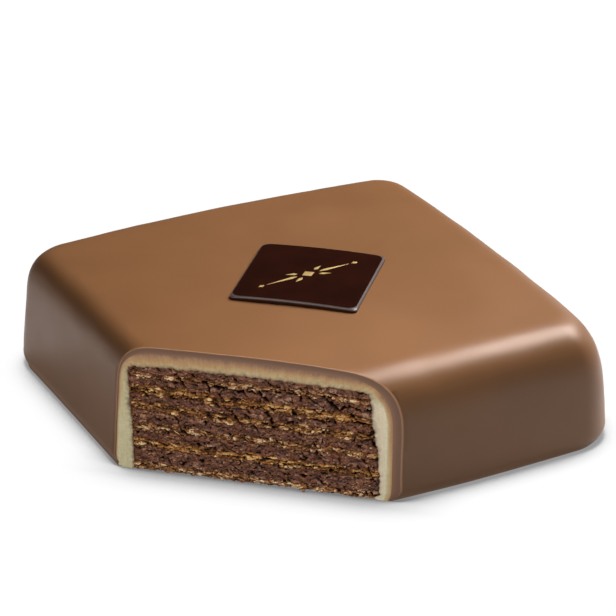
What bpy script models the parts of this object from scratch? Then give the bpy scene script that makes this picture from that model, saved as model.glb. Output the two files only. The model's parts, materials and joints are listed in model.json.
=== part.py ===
"""Square layered torte with one corner cut away, and a chocolate plaque on top.

Frame: metres, +Z up. The square's sides lie along X and Y, with the origin on the base under the
middle of the square. The cut takes off the corner at -X, -Y and shows the inside: six wafer
layers and six layers of chocolate cream, inside a marzipan jacket and a coat of milk chocolate.
"""

import math
from collections import namedtuple

import bmesh
import bpy
from mathutils import Vector, noise

MM = 0.001

# Outside of the coat.
HALF_SIDE = 60.0 * MM  # half the square's side where it is widest, just above the base
EDGE_HEIGHT = 33.3 * MM  # height that the soft top edges rise to
CROWN = 1.9 * MM  # how much higher the middle of the top stands
CROWN_POWER = 3  # a high power keeps the middle flat
CORNER_RADIUS = 10.9 * MM  # upright corners, in plan
LEAST_CORNER_RADIUS = 1.5 * MM
FOOT_HEIGHT = 3.6 * MM  # over this height the sides turn in to the base
SHOULDER_POWER = 2.75  # superellipse power of the top edges
UNEVENNESS = 0.3 * MM  # hand-poured sides lie up to this far inside their box
UNEVENNESS_LENGTH = 26.0 * MM

# Each side of the square: how far in and down its soft top edge reaches, how far it leans in
# above its foot, how far it turns in at the base, how far its ends stand in from its bowed
# middle, how thick the coat and the marzipan are, and how far the stack behind it leans in.
Side = namedtuple("Side", "run drop lean tuck bow coat marzipan stack_lean")
LEFT = Side(6.9 * MM, 9.7 * MM, 1.5 * MM, 1.5 * MM, 0.0 * MM, 0.6 * MM, 2.9 * MM, 0.2 * MM)
FRONT = Side(11.1 * MM, 14.6 * MM, 0.0 * MM, 1.7 * MM, 2.5 * MM, 1.7 * MM, 2.5 * MM, 1.3 * MM)
RIGHT = Side(10.3 * MM, 21.4 * MM, 4.2 * MM, 2.1 * MM, 2.1 * MM, 1.2 * MM, 3.0 * MM, 4.9 * MM)
BACK = Side(8.0 * MM, 15.3 * MM, 5.5 * MM, 1.4 * MM, 2.9 * MM, 1.2 * MM, 3.0 * MM, 5.3 * MM)
TOP_COAT = 1.6 * MM
COAT_CLEARANCE = 0.3 * MM  # the thin coat ends this far above the table

# The cut across the front left corner.
CUT_ON_LEFT = 48.1 * MM  # length that it takes off the left side
CUT_ON_FRONT = 54.6 * MM  # length that it takes off the front side

# The layers inside, from the base up. Each one is named, with its thickness.
LAYERS = (
    ("wafer_1", 1.9 * MM),
    ("cream_1", 4.2 * MM),
    ("wafer_2", 2.4 * MM),
    ("cream_2", 2.4 * MM),
    ("wafer_3", 2.1 * MM),
    ("cream_3", 3.2 * MM),
    ("wafer_4", 2.4 * MM),
    ("cream_4", 2.0 * MM),
    ("wafer_5", 2.8 * MM),
    ("cream_5", 2.1 * MM),
    ("wafer_6", 1.6 * MM),
    ("cream_6", 1.5 * MM),
)
STACK_CORNER_RADIUS = 8.0 * MM
WAVE = 0.38 * MM  # how far a layer's edge strays up and down along the cut
WAVE_LENGTH = 8.0 * MM
WAVE_SPACING = 3.7  # sets each layer's waves apart from the next one's
FADE_DEPTH = 6.0 * MM  # behind the cut, the waves die out over this depth
CREAM_CRAGS = 0.55 * MM  # depth of the torn relief on the cut
WAFER_CRAGS = 0.45 * MM
WAFER_PROUD = 0.15 * MM  # the crisp wafer edges stand out a little from the cream
CRAG_LENGTH = 2.6 * MM
CRAG_WIDENING = 1.6  # crags are wider than they are tall by this much
SMALL_CRAG_SHARE = 0.6  # depth of the small crags on the large ones
SMALL_CRAG_RATE = 2.3  # how many of them fit on a large one
NOISE_REACH = 0.65  # smooth noise seldom strays further than this from zero

# The plaque on top.
PLAQUE_SIDE = 31.2 * MM
PLAQUE_THICKNESS = 1.8 * MM
PLAQUE_CENTRE = (-2.7 * MM, -5.1 * MM)
PLAQUE_TURN = math.radians(49.0)
PLAQUE_CORNER = 2.2 * MM
PLAQUE_CORNER_STEPS = 5
PLAQUE_BEVEL = 0.6 * MM
PLAQUE_BEVEL_STEPS = 3

GAP = 0.3 * MM  # between a piece and what it touches
SHARP_ANGLE = math.radians(40)  # edges that turn more than this are shaded sharp

# How finely the shapes are divided.
CORNER_STEPS = 6
STRAIGHT_STEPS = 5
FOOT_STEPS = 2
WALL_STEPS = 2
SHOULDER_STEPS = 6
CROWN_RINGS = (0.72, 0.4)  # share of the flat top's size
CUT_COLUMNS = 60
COLUMNS_PER_FADE_POINT = 4
CREAM_ROWS = 4
WAFER_ROWS = 3
STACK_CORNER_STEPS = 4

COLOURS = {
    "milk_chocolate": ((0.245, 0.125, 0.062, 1.0), 0.38),
    "marzipan": ((0.66, 0.60, 0.37, 1.0), 0.62),
    "cream": ((0.075, 0.034, 0.024, 1.0), 0.7),
    "wafer": ((0.42, 0.22, 0.07, 1.0), 0.8),
    "dark_chocolate": ((0.018, 0.006, 0.004, 1.0), 0.25),
}


def clear_scene():
    for old in list(bpy.data.objects):
        bpy.data.objects.remove(old, do_unlink=True)


def material(name):
    """A Principled BSDF with the food's colour and roughness."""
    found = bpy.data.materials.get(name)
    if found:
        return found
    colour, roughness = COLOURS[name]
    made = bpy.data.materials.new(name)
    made.use_nodes = True
    shader = made.node_tree.nodes["Principled BSDF"]
    shader.inputs["Base Color"].default_value = colour
    shader.inputs["Roughness"].default_value = roughness
    shader.inputs["Metallic"].default_value = 0.0
    return made


def object_from(bm, name, finish=None):
    """Closes the bmesh's normals outward and links it as an object."""
    bmesh.ops.recalc_face_normals(bm, faces=bm.faces)
    mesh = bpy.data.meshes.new(name)
    bm.to_mesh(mesh)
    bm.free()
    mesh.shade_smooth()
    mesh.set_sharp_from_angle(angle=SHARP_ANGLE)
    made = bpy.data.objects.new(name, mesh)
    bpy.context.scene.collection.objects.link(made)
    if finish:
        mesh.materials.append(material(finish))
    return made


def as_cutter(obj):
    obj.hide_render = True
    obj.display_type = "WIRE"
    return obj


def cut_away(obj, cutter):
    modifier = obj.modifiers.new("Cut " + cutter.name, "BOOLEAN")
    modifier.operation = "DIFFERENCE"
    modifier.solver = "EXACT"
    modifier.object = cutter


# The soft block that the coat and the marzipan share.


def wall_profile(side, inset, top_inset):
    """(distance in from the square's side, height) from the base up to the flat top."""
    top = EDGE_HEIGHT - top_inset
    drop = side.drop - top_inset
    run = side.run - inset
    shoulder = top - drop
    power = 2 / SHOULDER_POWER
    steps = []
    for step in range(FOOT_STEPS):
        height = FOOT_HEIGHT * step / FOOT_STEPS
        steps.append((side.tuck * (1 - height / FOOT_HEIGHT) ** 2, height))
    for step in range(WALL_STEPS):
        steps.append((0.0, FOOT_HEIGHT + (shoulder - FOOT_HEIGHT) * step / WALL_STEPS))
    for step in range(SHOULDER_STEPS + 1):
        angle = math.pi / 2 * step / SHOULDER_STEPS
        across = run * (1 - max(math.cos(angle), 0.0) ** power)
        steps.append((across, shoulder + drop * math.sin(angle) ** power))
    lean = side.lean / (EDGE_HEIGHT - FOOT_HEIGHT)
    return [
        (inset + across + lean * max(height - FOOT_HEIGHT, 0), height) for across, height in steps
    ]


def crown_height(x, y):
    across = 1 - abs(x / HALF_SIDE) ** CROWN_POWER
    along = 1 - abs(y / HALF_SIDE) ** CROWN_POWER
    return CROWN * max(across, 0) * max(along, 0)


def bowed(x, y):
    """Bows the square's sides: their ends come in and their middles stay."""
    side_x = RIGHT if x > 0 else LEFT
    side_y = BACK if y > 0 else FRONT
    share_x = x / HALF_SIDE
    share_y = y / HALF_SIDE
    return x - side_x.bow * share_x * share_y**2, y - side_y.bow * share_y * share_x**2


def hand_poured(x, y, z):
    """How far a point of the side lies inside its box: 0 to UNEVENNESS."""
    wave = noise.noise(Vector((x, y, z)) / UNEVENNESS_LENGTH) / NOISE_REACH
    return UNEVENNESS * min(max((1 + wave) / 2, 0.0), 1.0)


def joined(arcs, steps, closed):
    """Arcs in one line, with points spread along the straight stretches between them."""
    line = []
    for index, arc in enumerate(arcs):
        line += arc
        if closed or index < len(arcs) - 1:
            following = arcs[(index + 1) % len(arcs)][0]
            line += [arc[-1].lerp(following, step / steps) for step in range(1, steps)]
    return line


def ring_of(left, front, right, back):
    """One turn round the block. Each side gives (distance in, height)."""
    corners = (
        (front, right, 1, -1, -90),
        (right, back, 1, 1, 0),
        (back, left, -1, 1, 90),
        (left, front, -1, -1, 180),
    )
    reach_x = {-1: HALF_SIDE - left[0], 1: HALF_SIDE - right[0]}
    reach_y = {-1: HALF_SIDE - front[0], 1: HALF_SIDE - back[0]}
    arcs = []
    for first, second, sign_x, sign_y, start in corners:
        radius = max(CORNER_RADIUS - (first[0] + second[0]) / 4, LEAST_CORNER_RADIUS)
        centre_x = sign_x * (reach_x[sign_x] - radius)
        centre_y = sign_y * (reach_y[sign_y] - radius)
        arc = []
        for step in range(CORNER_STEPS + 1):
            share = step / CORNER_STEPS
            angle = math.radians(start + 90 * share)
            blend = 0.5 - 0.5 * math.cos(math.pi * share)
            x = centre_x + radius * math.cos(angle)
            y = centre_y + radius * math.sin(angle)
            arc.append(Vector((x, y, first[1] * (1 - blend) + second[1] * blend)))
        arcs.append(arc)
    return joined(arcs, STRAIGHT_STEPS, closed=True)


def block_rings(insets, top_inset, base):
    """Rings of a block that lies inside the coat's outside by an inset for each side."""
    profiles = [
        wall_profile(side, inset, top_inset)
        for side, inset in zip((LEFT, FRONT, RIGHT, BACK), insets)
    ]
    rings = [ring_of(*levels) for levels in zip(*profiles)]
    for point in rings[0]:
        point.z = base
    flat = rings[-1]
    for share in CROWN_RINGS:
        rings.append([Vector((point.x * share, point.y * share, point.z)) for point in flat])
    for ring in rings:
        for point in ring:
            rise = crown_height(point.x, point.y) * (max(point.z, 0) / EDGE_HEIGHT) ** 2
            shrink = 1 - hand_poured(*point) / HALF_SIDE
            x, y = bowed(point.x, point.y)
            point.xyz = (x * shrink, y * shrink, point.z + rise)
    return rings


def loft(rings, name, finish=None):
    """A closed solid through rings of equal length, with flat ends."""
    bm = bmesh.new()
    loops = [[bm.verts.new(point) for point in ring] for ring in rings]
    count = len(loops[0])
    for low, high in zip(loops, loops[1:]):
        for index in range(count):
            after = (index + 1) % count
            bm.faces.new((low[index], low[after], high[after], high[index]))
    bm.faces.new(loops[0][::-1])
    bm.faces.new(loops[-1])
    return object_from(bm, name, finish)


def coat_insets(extra=0.0):
    """How far the coat's inside, or what lies a gap further in, is from its outside."""
    return [side.coat + extra for side in (LEFT, FRONT, RIGHT, BACK)]


# The cut and the stack of layers.

CUT_LEFT = Vector((-HALF_SIDE, -HALF_SIDE + CUT_ON_LEFT))
CUT_RIGHT = Vector((-HALF_SIDE + CUT_ON_FRONT, -HALF_SIDE))
ALONG = (CUT_RIGHT - CUT_LEFT).normalized()
OUTWARD = Vector((ALONG.y, -ALONG.x))
STACK_HEIGHT = sum(thickness for _, thickness in LAYERS)


def cut_corner_block():
    """A box that holds everything in front of the cut."""
    reach = 4 * HALF_SIDE
    middle = (CUT_LEFT + CUT_RIGHT) / 2 + OUTWARD * reach / 2
    bpy.ops.mesh.primitive_cube_add(size=reach, location=(middle.x, middle.y, 0))
    block = bpy.context.active_object
    block.name = "corner_cutter"
    block.rotation_euler.z = math.atan2(ALONG.y, ALONG.x)
    return as_cutter(block)


def stack_half_sides(height, extra=0.0):
    """Distances from the centre to the stack's four sides at a height: left, front, right, back."""
    share = height / STACK_HEIGHT
    return [
        HALF_SIDE - side.coat - side.marzipan - side.stack_lean * share + extra
        for side in (LEFT, FRONT, RIGHT, BACK)
    ]


def on_cut(x=None, y=None, depth=0.0):
    """The point of the cut line, moved back by depth, at a given x or a given y."""
    start = CUT_LEFT - OUTWARD * depth
    if x is not None:
        return start + ALONG * ((x - start.x) / ALONG.x)
    return start + ALONG * ((y - start.y) / ALONG.y)


def stack_outline(height, start, end, extra=0.0):
    """Points from start on the front side, round the three whole corners, to end."""
    left, front, right, back = stack_half_sides(height, extra)
    arcs = [[start]]
    for sign_x, sign_y, reach_x, reach_y, turn in (
        (1, -1, right, front, -90),
        (1, 1, right, back, 0),
        (-1, 1, left, back, 90),
    ):
        radius = STACK_CORNER_RADIUS
        centre = Vector((sign_x * (reach_x - radius), sign_y * (reach_y - radius)))
        arc = []
        for step in range(STACK_CORNER_STEPS + 1):
            angle = math.radians(turn + 90 * step / STACK_CORNER_STEPS)
            arc.append(centre + radius * Vector((math.cos(angle), math.sin(angle))))
        arcs.append(arc)
    arcs.append([end])
    return [Vector(bowed(*point)) for point in joined(arcs, STRAIGHT_STEPS, closed=False)]


def cavity():
    """The space in the marzipan that the stack fills, with the gap round it."""
    rings = []
    for height in (-2 * GAP, STACK_HEIGHT + GAP):
        left, front, _, _ = stack_half_sides(max(height, 0), GAP)
        before_corner = Vector((-HALF_SIDE / 2, -front))
        after_corner = Vector((-left, -HALF_SIDE / 2))
        outline = stack_outline(max(height, 0), before_corner, after_corner, GAP)
        outline.append(Vector((-left, -front)))
        rings.append([Vector((point.x, point.y, height)) for point in outline])
    return as_cutter(loft(rings, "stack_cutter"))


def edge_wave(boundary, distance):
    """How far a boundary between layers strays from its height along the cut."""
    if boundary in (0, len(LAYERS)):
        return 0.0
    place = Vector((distance / WAVE_LENGTH, boundary * WAVE_SPACING, 0.0))
    return WAVE * noise.noise(place) / NOISE_REACH


def is_wafer(name):
    return name.startswith("wafer")


def crag(name, distance, height):
    """Relief of a torn cut surface, outward from the cut."""
    place = Vector((distance, height * CRAG_WIDENING, 0.0)) / CRAG_LENGTH
    rough = noise.noise(place) + SMALL_CRAG_SHARE * noise.noise(place * SMALL_CRAG_RATE)
    rough = max(min(rough / NOISE_REACH, 1.0), -1.0)
    if is_wafer(name):
        return WAFER_PROUD + WAFER_CRAGS * rough
    return CREAM_CRAGS * rough


def torn_face(bm, name, number, low, high):
    """Rows of points over a layer's part of the cut, wavy above and below, and torn."""
    rows = WAFER_ROWS if is_wafer(name) else CREAM_ROWS
    ends = []
    for height in (low, high):
        left, front, _, _ = stack_half_sides(height)
        ends.append((on_cut(x=-left), on_cut(y=-front)))
    face = []
    for row in range(rows + 1):
        share = row / rows
        start = ends[0][0].lerp(ends[1][0], share)
        end = ends[0][1].lerp(ends[1][1], share)
        line = []
        for column in range(CUT_COLUMNS + 1):
            flat = start.lerp(end, column / CUT_COLUMNS)
            distance = (flat - CUT_LEFT).length
            base = low + edge_wave(number, distance)
            tip = high + edge_wave(number + 1, distance)
            height = base + (tip - base) * share
            at_the_marzipan = column in (0, CUT_COLUMNS)
            spot = flat if at_the_marzipan else flat + OUTWARD * crag(name, distance, height)
            line.append(bm.verts.new((spot.x, spot.y, height)))
        face.append(line)
    for below, above in zip(face, face[1:]):
        for column in range(CUT_COLUMNS):
            after = column + 1
            bm.faces.new((below[column], below[after], above[after], above[column]))
    return face


def slab_face(bm, height, torn_edge):
    """A layer's flat upper or lower face, with a strip that runs out to the torn edge."""
    left, front, _, _ = stack_half_sides(height)
    start = on_cut(y=-front, depth=FADE_DEPTH)
    end = on_cut(x=-left, depth=FADE_DEPTH)
    outline = stack_outline(height, start, end)
    fade_count = CUT_COLUMNS // COLUMNS_PER_FADE_POINT
    fade = []
    for step in range(fade_count + 1):
        spot = outline[-1].lerp(outline[0], step / fade_count)
        fade.append(bm.verts.new((spot.x, spot.y, height)))
    for step in range(fade_count):
        first = step * COLUMNS_PER_FADE_POINT
        half = first + COLUMNS_PER_FADE_POINT // 2
        for column in range(first, first + COLUMNS_PER_FADE_POINT):
            point = fade[step] if column < half else fade[step + 1]
            bm.faces.new((torn_edge[column], torn_edge[column + 1], point))
        bm.faces.new((torn_edge[half], fade[step], fade[step + 1]))
    rest = [bm.verts.new((spot.x, spot.y, height)) for spot in outline[1:-1]]
    bm.faces.new(fade + rest)
    return [fade[-1], *rest, fade[0]]


def layer(name, number, bottom, top):
    """One slab through the whole torte, with torn relief where the cut shows it."""
    low = bottom + (GAP / 2 if number else 0.0)
    high = top - (GAP / 2 if number < len(LAYERS) - 1 else 0.0)
    bm = bmesh.new()
    face = torn_face(bm, name, number, low, high)
    low_loop = slab_face(bm, low, face[0])
    high_loop = slab_face(bm, high, face[-1])
    for index in range(len(low_loop) - 1):
        after = index + 1
        bm.faces.new((low_loop[index], low_loop[after], high_loop[after], high_loop[index]))
    left_end = [line[0] for line in face]
    right_end = [line[-1] for line in face]
    bm.faces.new([*left_end, high_loop[-1], low_loop[-1]])
    bm.faces.new([*right_end, high_loop[0], low_loop[0]])
    return object_from(bm, name, "wafer" if is_wafer(name) else "cream")


def stack():
    bottom = 0.0
    for number, (name, thickness) in enumerate(LAYERS):
        layer(name, number, bottom, bottom + thickness)
        bottom += thickness


def coat(corner):
    outside = loft(block_rings([0.0] * 4, 0.0, COAT_CLEARANCE), "chocolate_coat", "milk_chocolate")
    inside = as_cutter(loft(block_rings(coat_insets(), TOP_COAT, -COAT_CLEARANCE), "coat_cutter"))
    cut_away(outside, inside)
    cut_away(outside, corner)


def marzipan(corner):
    insets = coat_insets(GAP)
    jacket = loft(block_rings(insets, TOP_COAT + GAP, 0.0), "marzipan_jacket", "marzipan")
    cut_away(jacket, cavity())
    cut_away(jacket, corner)


def soften(bm, edges, width, steps):
    bmesh.ops.bevel(bm, geom=edges, offset=width, segments=steps, profile=0.5, affect="EDGES")


def plaque():
    """A thin moulded square with rounded corners and a soft upper edge."""
    bm = bmesh.new()
    bmesh.ops.create_cube(bm, size=1.0)
    bmesh.ops.scale(bm, vec=(PLAQUE_SIDE, PLAQUE_SIDE, PLAQUE_THICKNESS), verts=bm.verts)
    upright = [edge for edge in bm.edges if abs(edge.verts[0].co.z - edge.verts[1].co.z) > GAP]
    soften(bm, upright, PLAQUE_CORNER, PLAQUE_CORNER_STEPS)
    upper = [edge for edge in bm.edges if all(vert.co.z > 0 for vert in edge.verts)]
    soften(bm, upper, PLAQUE_BEVEL, PLAQUE_BEVEL_STEPS)
    made = object_from(bm, "plaque", "dark_chocolate")
    x, y = PLAQUE_CENTRE
    top_of_coat = EDGE_HEIGHT + CROWN
    made.location = (x, y, top_of_coat + GAP + PLAQUE_THICKNESS / 2)
    made.rotation_euler.z = PLAQUE_TURN


def main():
    clear_scene()
    corner = cut_corner_block()
    coat(corner)
    marzipan(corner)
    stack()
    plaque()


main()
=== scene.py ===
"""Looks of a square layered torte with one corner cut away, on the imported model's frame.

The torte is a poured coat of milk chocolate over a marzipan jacket, with six wafer layers and six
layers of chocolate cream inside, and a moulded dark chocolate plaque on top. Metres, +Z up.
"""

import json
import math
import random
from collections import namedtuple

import bmesh
import bpy
import numpy as np
from bpy.props import FloatProperty, FloatVectorProperty, IntProperty, PointerProperty
from bpy.types import Operator, Panel, PropertyGroup
from mathutils import Matrix, Vector, noise

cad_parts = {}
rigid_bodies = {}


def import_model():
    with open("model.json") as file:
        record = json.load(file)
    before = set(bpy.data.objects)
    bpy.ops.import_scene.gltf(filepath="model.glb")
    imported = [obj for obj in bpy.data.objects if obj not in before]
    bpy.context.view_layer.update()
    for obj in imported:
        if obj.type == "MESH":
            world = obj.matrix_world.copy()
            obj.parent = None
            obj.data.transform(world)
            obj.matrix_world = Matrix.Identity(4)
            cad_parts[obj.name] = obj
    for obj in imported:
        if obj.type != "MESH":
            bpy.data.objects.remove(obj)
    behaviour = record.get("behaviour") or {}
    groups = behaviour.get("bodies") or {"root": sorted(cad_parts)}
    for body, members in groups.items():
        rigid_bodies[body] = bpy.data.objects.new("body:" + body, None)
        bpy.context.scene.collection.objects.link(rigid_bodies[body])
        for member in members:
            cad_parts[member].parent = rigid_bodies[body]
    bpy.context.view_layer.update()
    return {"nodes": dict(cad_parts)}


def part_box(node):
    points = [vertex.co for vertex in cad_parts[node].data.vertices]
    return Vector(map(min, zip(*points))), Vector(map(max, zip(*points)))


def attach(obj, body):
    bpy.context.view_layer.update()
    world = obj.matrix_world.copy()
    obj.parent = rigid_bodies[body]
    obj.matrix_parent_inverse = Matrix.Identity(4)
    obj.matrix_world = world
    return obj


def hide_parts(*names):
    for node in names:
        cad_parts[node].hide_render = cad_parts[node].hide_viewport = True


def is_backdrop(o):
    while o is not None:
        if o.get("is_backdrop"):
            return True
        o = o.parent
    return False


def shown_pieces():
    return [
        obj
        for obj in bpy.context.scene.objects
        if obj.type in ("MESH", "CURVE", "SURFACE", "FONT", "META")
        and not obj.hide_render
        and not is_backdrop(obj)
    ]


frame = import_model()

bl_info = {
    "name": "Layered Torte",
    "version": (1, 0, 0),
    "blender": (4, 5, 0),
    "location": "3D View > Sidebar > Torte",
    "description": "Builds the coat, marzipan, layers, crumbs and plaque of a cut layered torte",
    "category": "Object",
}

MM = 0.001

# Outside of the coat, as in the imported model.
HALF_SIDE = 60.0 * MM
EDGE_HEIGHT = 33.3 * MM
CROWN = 1.9 * MM
CROWN_POWER = 3
CORNER_RADIUS = 10.9 * MM
LEAST_CORNER_RADIUS = 1.5 * MM
FOOT_HEIGHT = 3.6 * MM
SHOULDER_POWER = 2.75
UNEVENNESS = 0.3 * MM
UNEVENNESS_LENGTH = 26.0 * MM
TOP_COAT = 1.6 * MM

# Each side: how far its soft top edge reaches in and down, how far it leans in above its foot,
# turns in at the base and stands in at its ends, how thick coat and marzipan are, and how far the
# stack behind it leans in.
Side = namedtuple("Side", "run drop lean tuck bow coat marzipan stack_lean")
LEFT = Side(6.9 * MM, 9.7 * MM, 1.5 * MM, 1.5 * MM, 0.0 * MM, 0.4 * MM, 3.1 * MM, 0.2 * MM)
FRONT = Side(11.1 * MM, 14.6 * MM, 0.0 * MM, 1.7 * MM, 2.5 * MM, 1.5 * MM, 2.7 * MM, 1.3 * MM)
RIGHT = Side(10.3 * MM, 21.4 * MM, 4.2 * MM, 2.1 * MM, 2.1 * MM, 1.2 * MM, 3.0 * MM, 4.9 * MM)
BACK = Side(8.0 * MM, 15.3 * MM, 5.5 * MM, 1.4 * MM, 2.9 * MM, 1.2 * MM, 3.0 * MM, 5.3 * MM)
SIDES = (LEFT, FRONT, RIGHT, BACK)

# The cut across the front left corner.
CUT_ON_LEFT = 48.1 * MM
CUT_ON_FRONT = 54.6 * MM
CUT_LEFT = Vector((-HALF_SIDE, -HALF_SIDE + CUT_ON_LEFT))
CUT_RIGHT = Vector((-HALF_SIDE + CUT_ON_FRONT, -HALF_SIDE))
ALONG = (CUT_RIGHT - CUT_LEFT).normalized()
OUTWARD = Vector((ALONG.y, -ALONG.x))
OUTWARD_3D = OUTWARD.to_3d()

INNER_TUCK = 0.3  # share of the base's tuck that the coat's inside follows

# How finely the coat is divided.
CORNER_STEPS = 18
STRAIGHT_STEPS = 56
FOOT_STEPS = 6
WALL_STEPS = 12
SHOULDER_STEPS = 26
CROWN_RINGS = (0.985, 0.96, 0.92, 0.86, 0.79, 0.7, 0.6, 0.5, 0.4, 0.3, 0.2, 0.1, 0.03)

NOISE_REACH = 0.65  # smooth noise seldom strays further than this from zero

# The stack on the cut.
LAYER_NAMES = [f"{kind}_{number}" for number in range(1, 7) for kind in ("wafer", "cream")]
WAVE = 0.38 * MM
WAVE_LENGTH = 8.0 * MM
WAVE_SPACING = 3.7
# The ragged edges of the layers: amount and length in millimetres, and the noise's step from one
# edge to the next.
RAGS = ((0.3, 1.3, 5.3), (0.16, 0.5, 8.1))
TOP_RAG = 0.3  # share of it at the stack's top edge
BASE_RAG = 0.7  # and at its base, which lies this high, in millimetres, and no lower
BASE_LIFT = 0.16
LEAST_LIFT = 0.02
POINT_SPACING = 0.1 * MM  # of the relief's points on the cut
TUCK_UNDER = 0.8 * MM  # how far the stack's face reaches under the marzipan's edge
# How far the stack's ends stray to the right of a straight line, at heights from the base.
RIGHT_BULGE = ((0.0, 8.0 * MM, 14.0 * MM, 21.0 * MM), (0.6 * MM, 0.9 * MM, 0.9 * MM, 0.0))
LEFT_BULGE = ((0.0, 6.0 * MM, 26.0 * MM), (0.5 * MM, 0.4 * MM, -0.6 * MM))
BLOCK_DEPTH = 2.4 * MM  # of the finely modelled blocks behind the cut
TRIM_DEPTH = 2.0 * MM  # the plain solids behind them start here

# How each wafer layer shows: how far it strays from level at the left, middle and right, the
# share that smeared cream covers, how pale its flakes are and how golden it was baked.
Wafer = namedtuple("Wafer", "drift covered pale golden")
WAFERS = {
    "wafer_1": Wafer((0.2 * MM, 0.1 * MM, -0.3 * MM), 0.30, 0.35, 0.0),
    "wafer_2": Wafer((0.5 * MM, -0.2 * MM, 0.0 * MM), 0.36, 0.35, 0.55),
    "wafer_3": Wafer((-0.1 * MM, 0.1 * MM, -0.1 * MM), 0.55, 0.75, 0.0),
    "wafer_4": Wafer((0.6 * MM, -0.4 * MM, -0.3 * MM), 0.50, 0.4, 0.35),
    "wafer_5": Wafer((0.5 * MM, -0.3 * MM, -1.3 * MM), 0.32, 0.3, 0.5),
    "wafer_6": Wafer((-0.4 * MM, 0.2 * MM, -0.1 * MM), 0.58, 0.8, 0.0),
}
OTHER_GOLDEN = 0.2  # of the crumbs of wafer elsewhere
TOP_DRIFT = (-0.6 * MM, 0.1 * MM, -0.15 * MM)


def linear(hex_colour):
    """An sRGB hex colour as linear red, green and blue."""
    parts = [int(hex_colour[i : i + 2], 16) / 255 for i in (1, 3, 5)]
    return tuple(c / 12.92 if c <= 0.04045 else ((c + 0.055) / 1.055) ** 2.4 for c in parts)


class TorteSizes(PropertyGroup):
    rim: FloatProperty(
        name="Cut rim", description="Rounding of the coat's edge along the cut",
        default=0.3 * MM, unit="LENGTH",
    )
    ripple: FloatProperty(
        name="Ripple", description="Height of the slow waves in the poured coat",
        default=0.12 * MM, unit="LENGTH",
    )
    cream_relief: FloatProperty(
        name="Cream relief", description="Height of the crumbs torn in the cream",
        default=0.5 * MM, unit="LENGTH",
    )
    wafer_relief: FloatProperty(
        name="Wafer relief", description="Height of the broken flakes of the wafers",
        default=0.55 * MM, unit="LENGTH",
    )
    tear_depth: FloatProperty(
        name="Tear depth", description="Depth of the tears that the knife pulled open",
        default=0.8 * MM, unit="LENGTH",
    )
    flakes: IntProperty(name="Flakes", description="Number of loose wafer flakes", default=260)
    crumbs: IntProperty(name="Crumbs", description="Number of loose cream crumbs", default=380)
    plaque_bevel: FloatProperty(
        name="Plaque edge", description="Rounding of the plaque's upper edge",
        default=0.6 * MM, unit="LENGTH",
    )
    ornament: FloatProperty(
        name="Ornament", description="Length of the gilt ornament on the plaque",
        default=29.0 * MM, unit="LENGTH",
    )


class TorteColours(PropertyGroup):
    coat: FloatVectorProperty(
        name="Milk chocolate", description="Poured coat", subtype="COLOR",
        default=linear("#92643F"),
    )
    coat_section: FloatVectorProperty(
        name="Coat section", description="Cut section of the coat", subtype="COLOR",
        default=linear("#6C4E3B"),
    )
    marzipan: FloatVectorProperty(
        name="Marzipan", description="Clean cut marzipan", subtype="COLOR",
        default=linear("#E6D6B7"),
    )
    cream: FloatVectorProperty(
        name="Chocolate cream", description="Filling between the wafers", subtype="COLOR",
        default=linear("#714530"),
    )
    wafer: FloatVectorProperty(
        name="Wafer", description="Broken wafer", subtype="COLOR",
        default=linear("#C28754"),
    )
    plaque: FloatVectorProperty(
        name="Dark chocolate", description="Moulded plaque", subtype="COLOR",
        default=linear("#290C03"),
    )
    gold: FloatVectorProperty(
        name="Gold dust", description="Ornament on the plaque", subtype="COLOR",
        default=linear("#DDBB78"),
    )


# Small tools.


def add_node(tree, kind, settings=None, stops=None, output=None):
    """Adds a shader node and gives its named output, or else its first one in use. A setting that
    is another node's output is linked to the input, and stops are those of a colour ramp."""
    node = tree.nodes.new("ShaderNode" + kind)
    for name, value in (settings or {}).items():
        if isinstance(value, bpy.types.NodeSocket):
            tree.links.new(value, node.inputs[name])
        elif isinstance(name, str) and hasattr(node, name):
            setattr(node, name, value)
        else:
            node.inputs[name].default_value = value
    if stops:
        elements = node.color_ramp.elements
        while len(elements) < len(stops):
            elements.new(1.0)
        for element, (place, colour) in zip(elements, stops):
            element.position = place
            element.color = (*colour, 1.0)
    if output:
        return node.outputs[output]
    return next(socket for socket in node.outputs if socket.enabled)


def new_material(name):
    """A material with its tree, its Principled shader and its object coordinates."""
    made = bpy.data.materials.new(name)
    made.use_nodes = True
    tree = made.node_tree
    place = add_node(tree, "TexCoord", output="Object")
    return made, tree, tree.nodes["Principled BSDF"], place


def per(size):
    """Noise scale for a feature of a real size."""
    return 1.0 / size


def shade(colour, factor):
    """A lighter or darker tone of a colour."""
    return tuple(min(part * factor, 1.0) for part in colour)


def deselect():
    """Leaves edit mode and deselects everything."""
    if bpy.context.object and bpy.context.object.mode != "OBJECT":
        bpy.ops.object.mode_set(mode="OBJECT")
    bpy.ops.object.select_all(action="DESELECT")


def make_active(obj):
    """Selects one object alone and makes it the active one."""
    deselect()
    obj.select_set(True)
    bpy.context.view_layer.objects.active = obj


def finished(obj, name, material, replaced=(), smooth_below=None):
    """Names a piece, gives it its finish and puts it in the frame. Edges under smooth_below
    degrees are shaded smooth."""
    obj.name = name
    obj.data.name = name
    obj.data.materials.clear()
    obj.data.materials.append(material)
    make_active(obj)
    bpy.ops.object.transform_apply(location=True, rotation=True, scale=True)
    if smooth_below:
        bpy.ops.object.shade_smooth_by_angle(angle=math.radians(smooth_below))
    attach(obj, "root")
    if replaced:
        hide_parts(*replaced)
    return obj


def object_from(bm):
    """Links a bmesh as an object, with its faces pointing outwards."""
    bmesh.ops.recalc_face_normals(bm, faces=bm.faces)
    mesh = bpy.data.meshes.new("made")
    bm.to_mesh(mesh)
    bm.free()
    obj = bpy.data.objects.new("made", mesh)
    bpy.context.scene.collection.objects.link(obj)
    return obj


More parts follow.
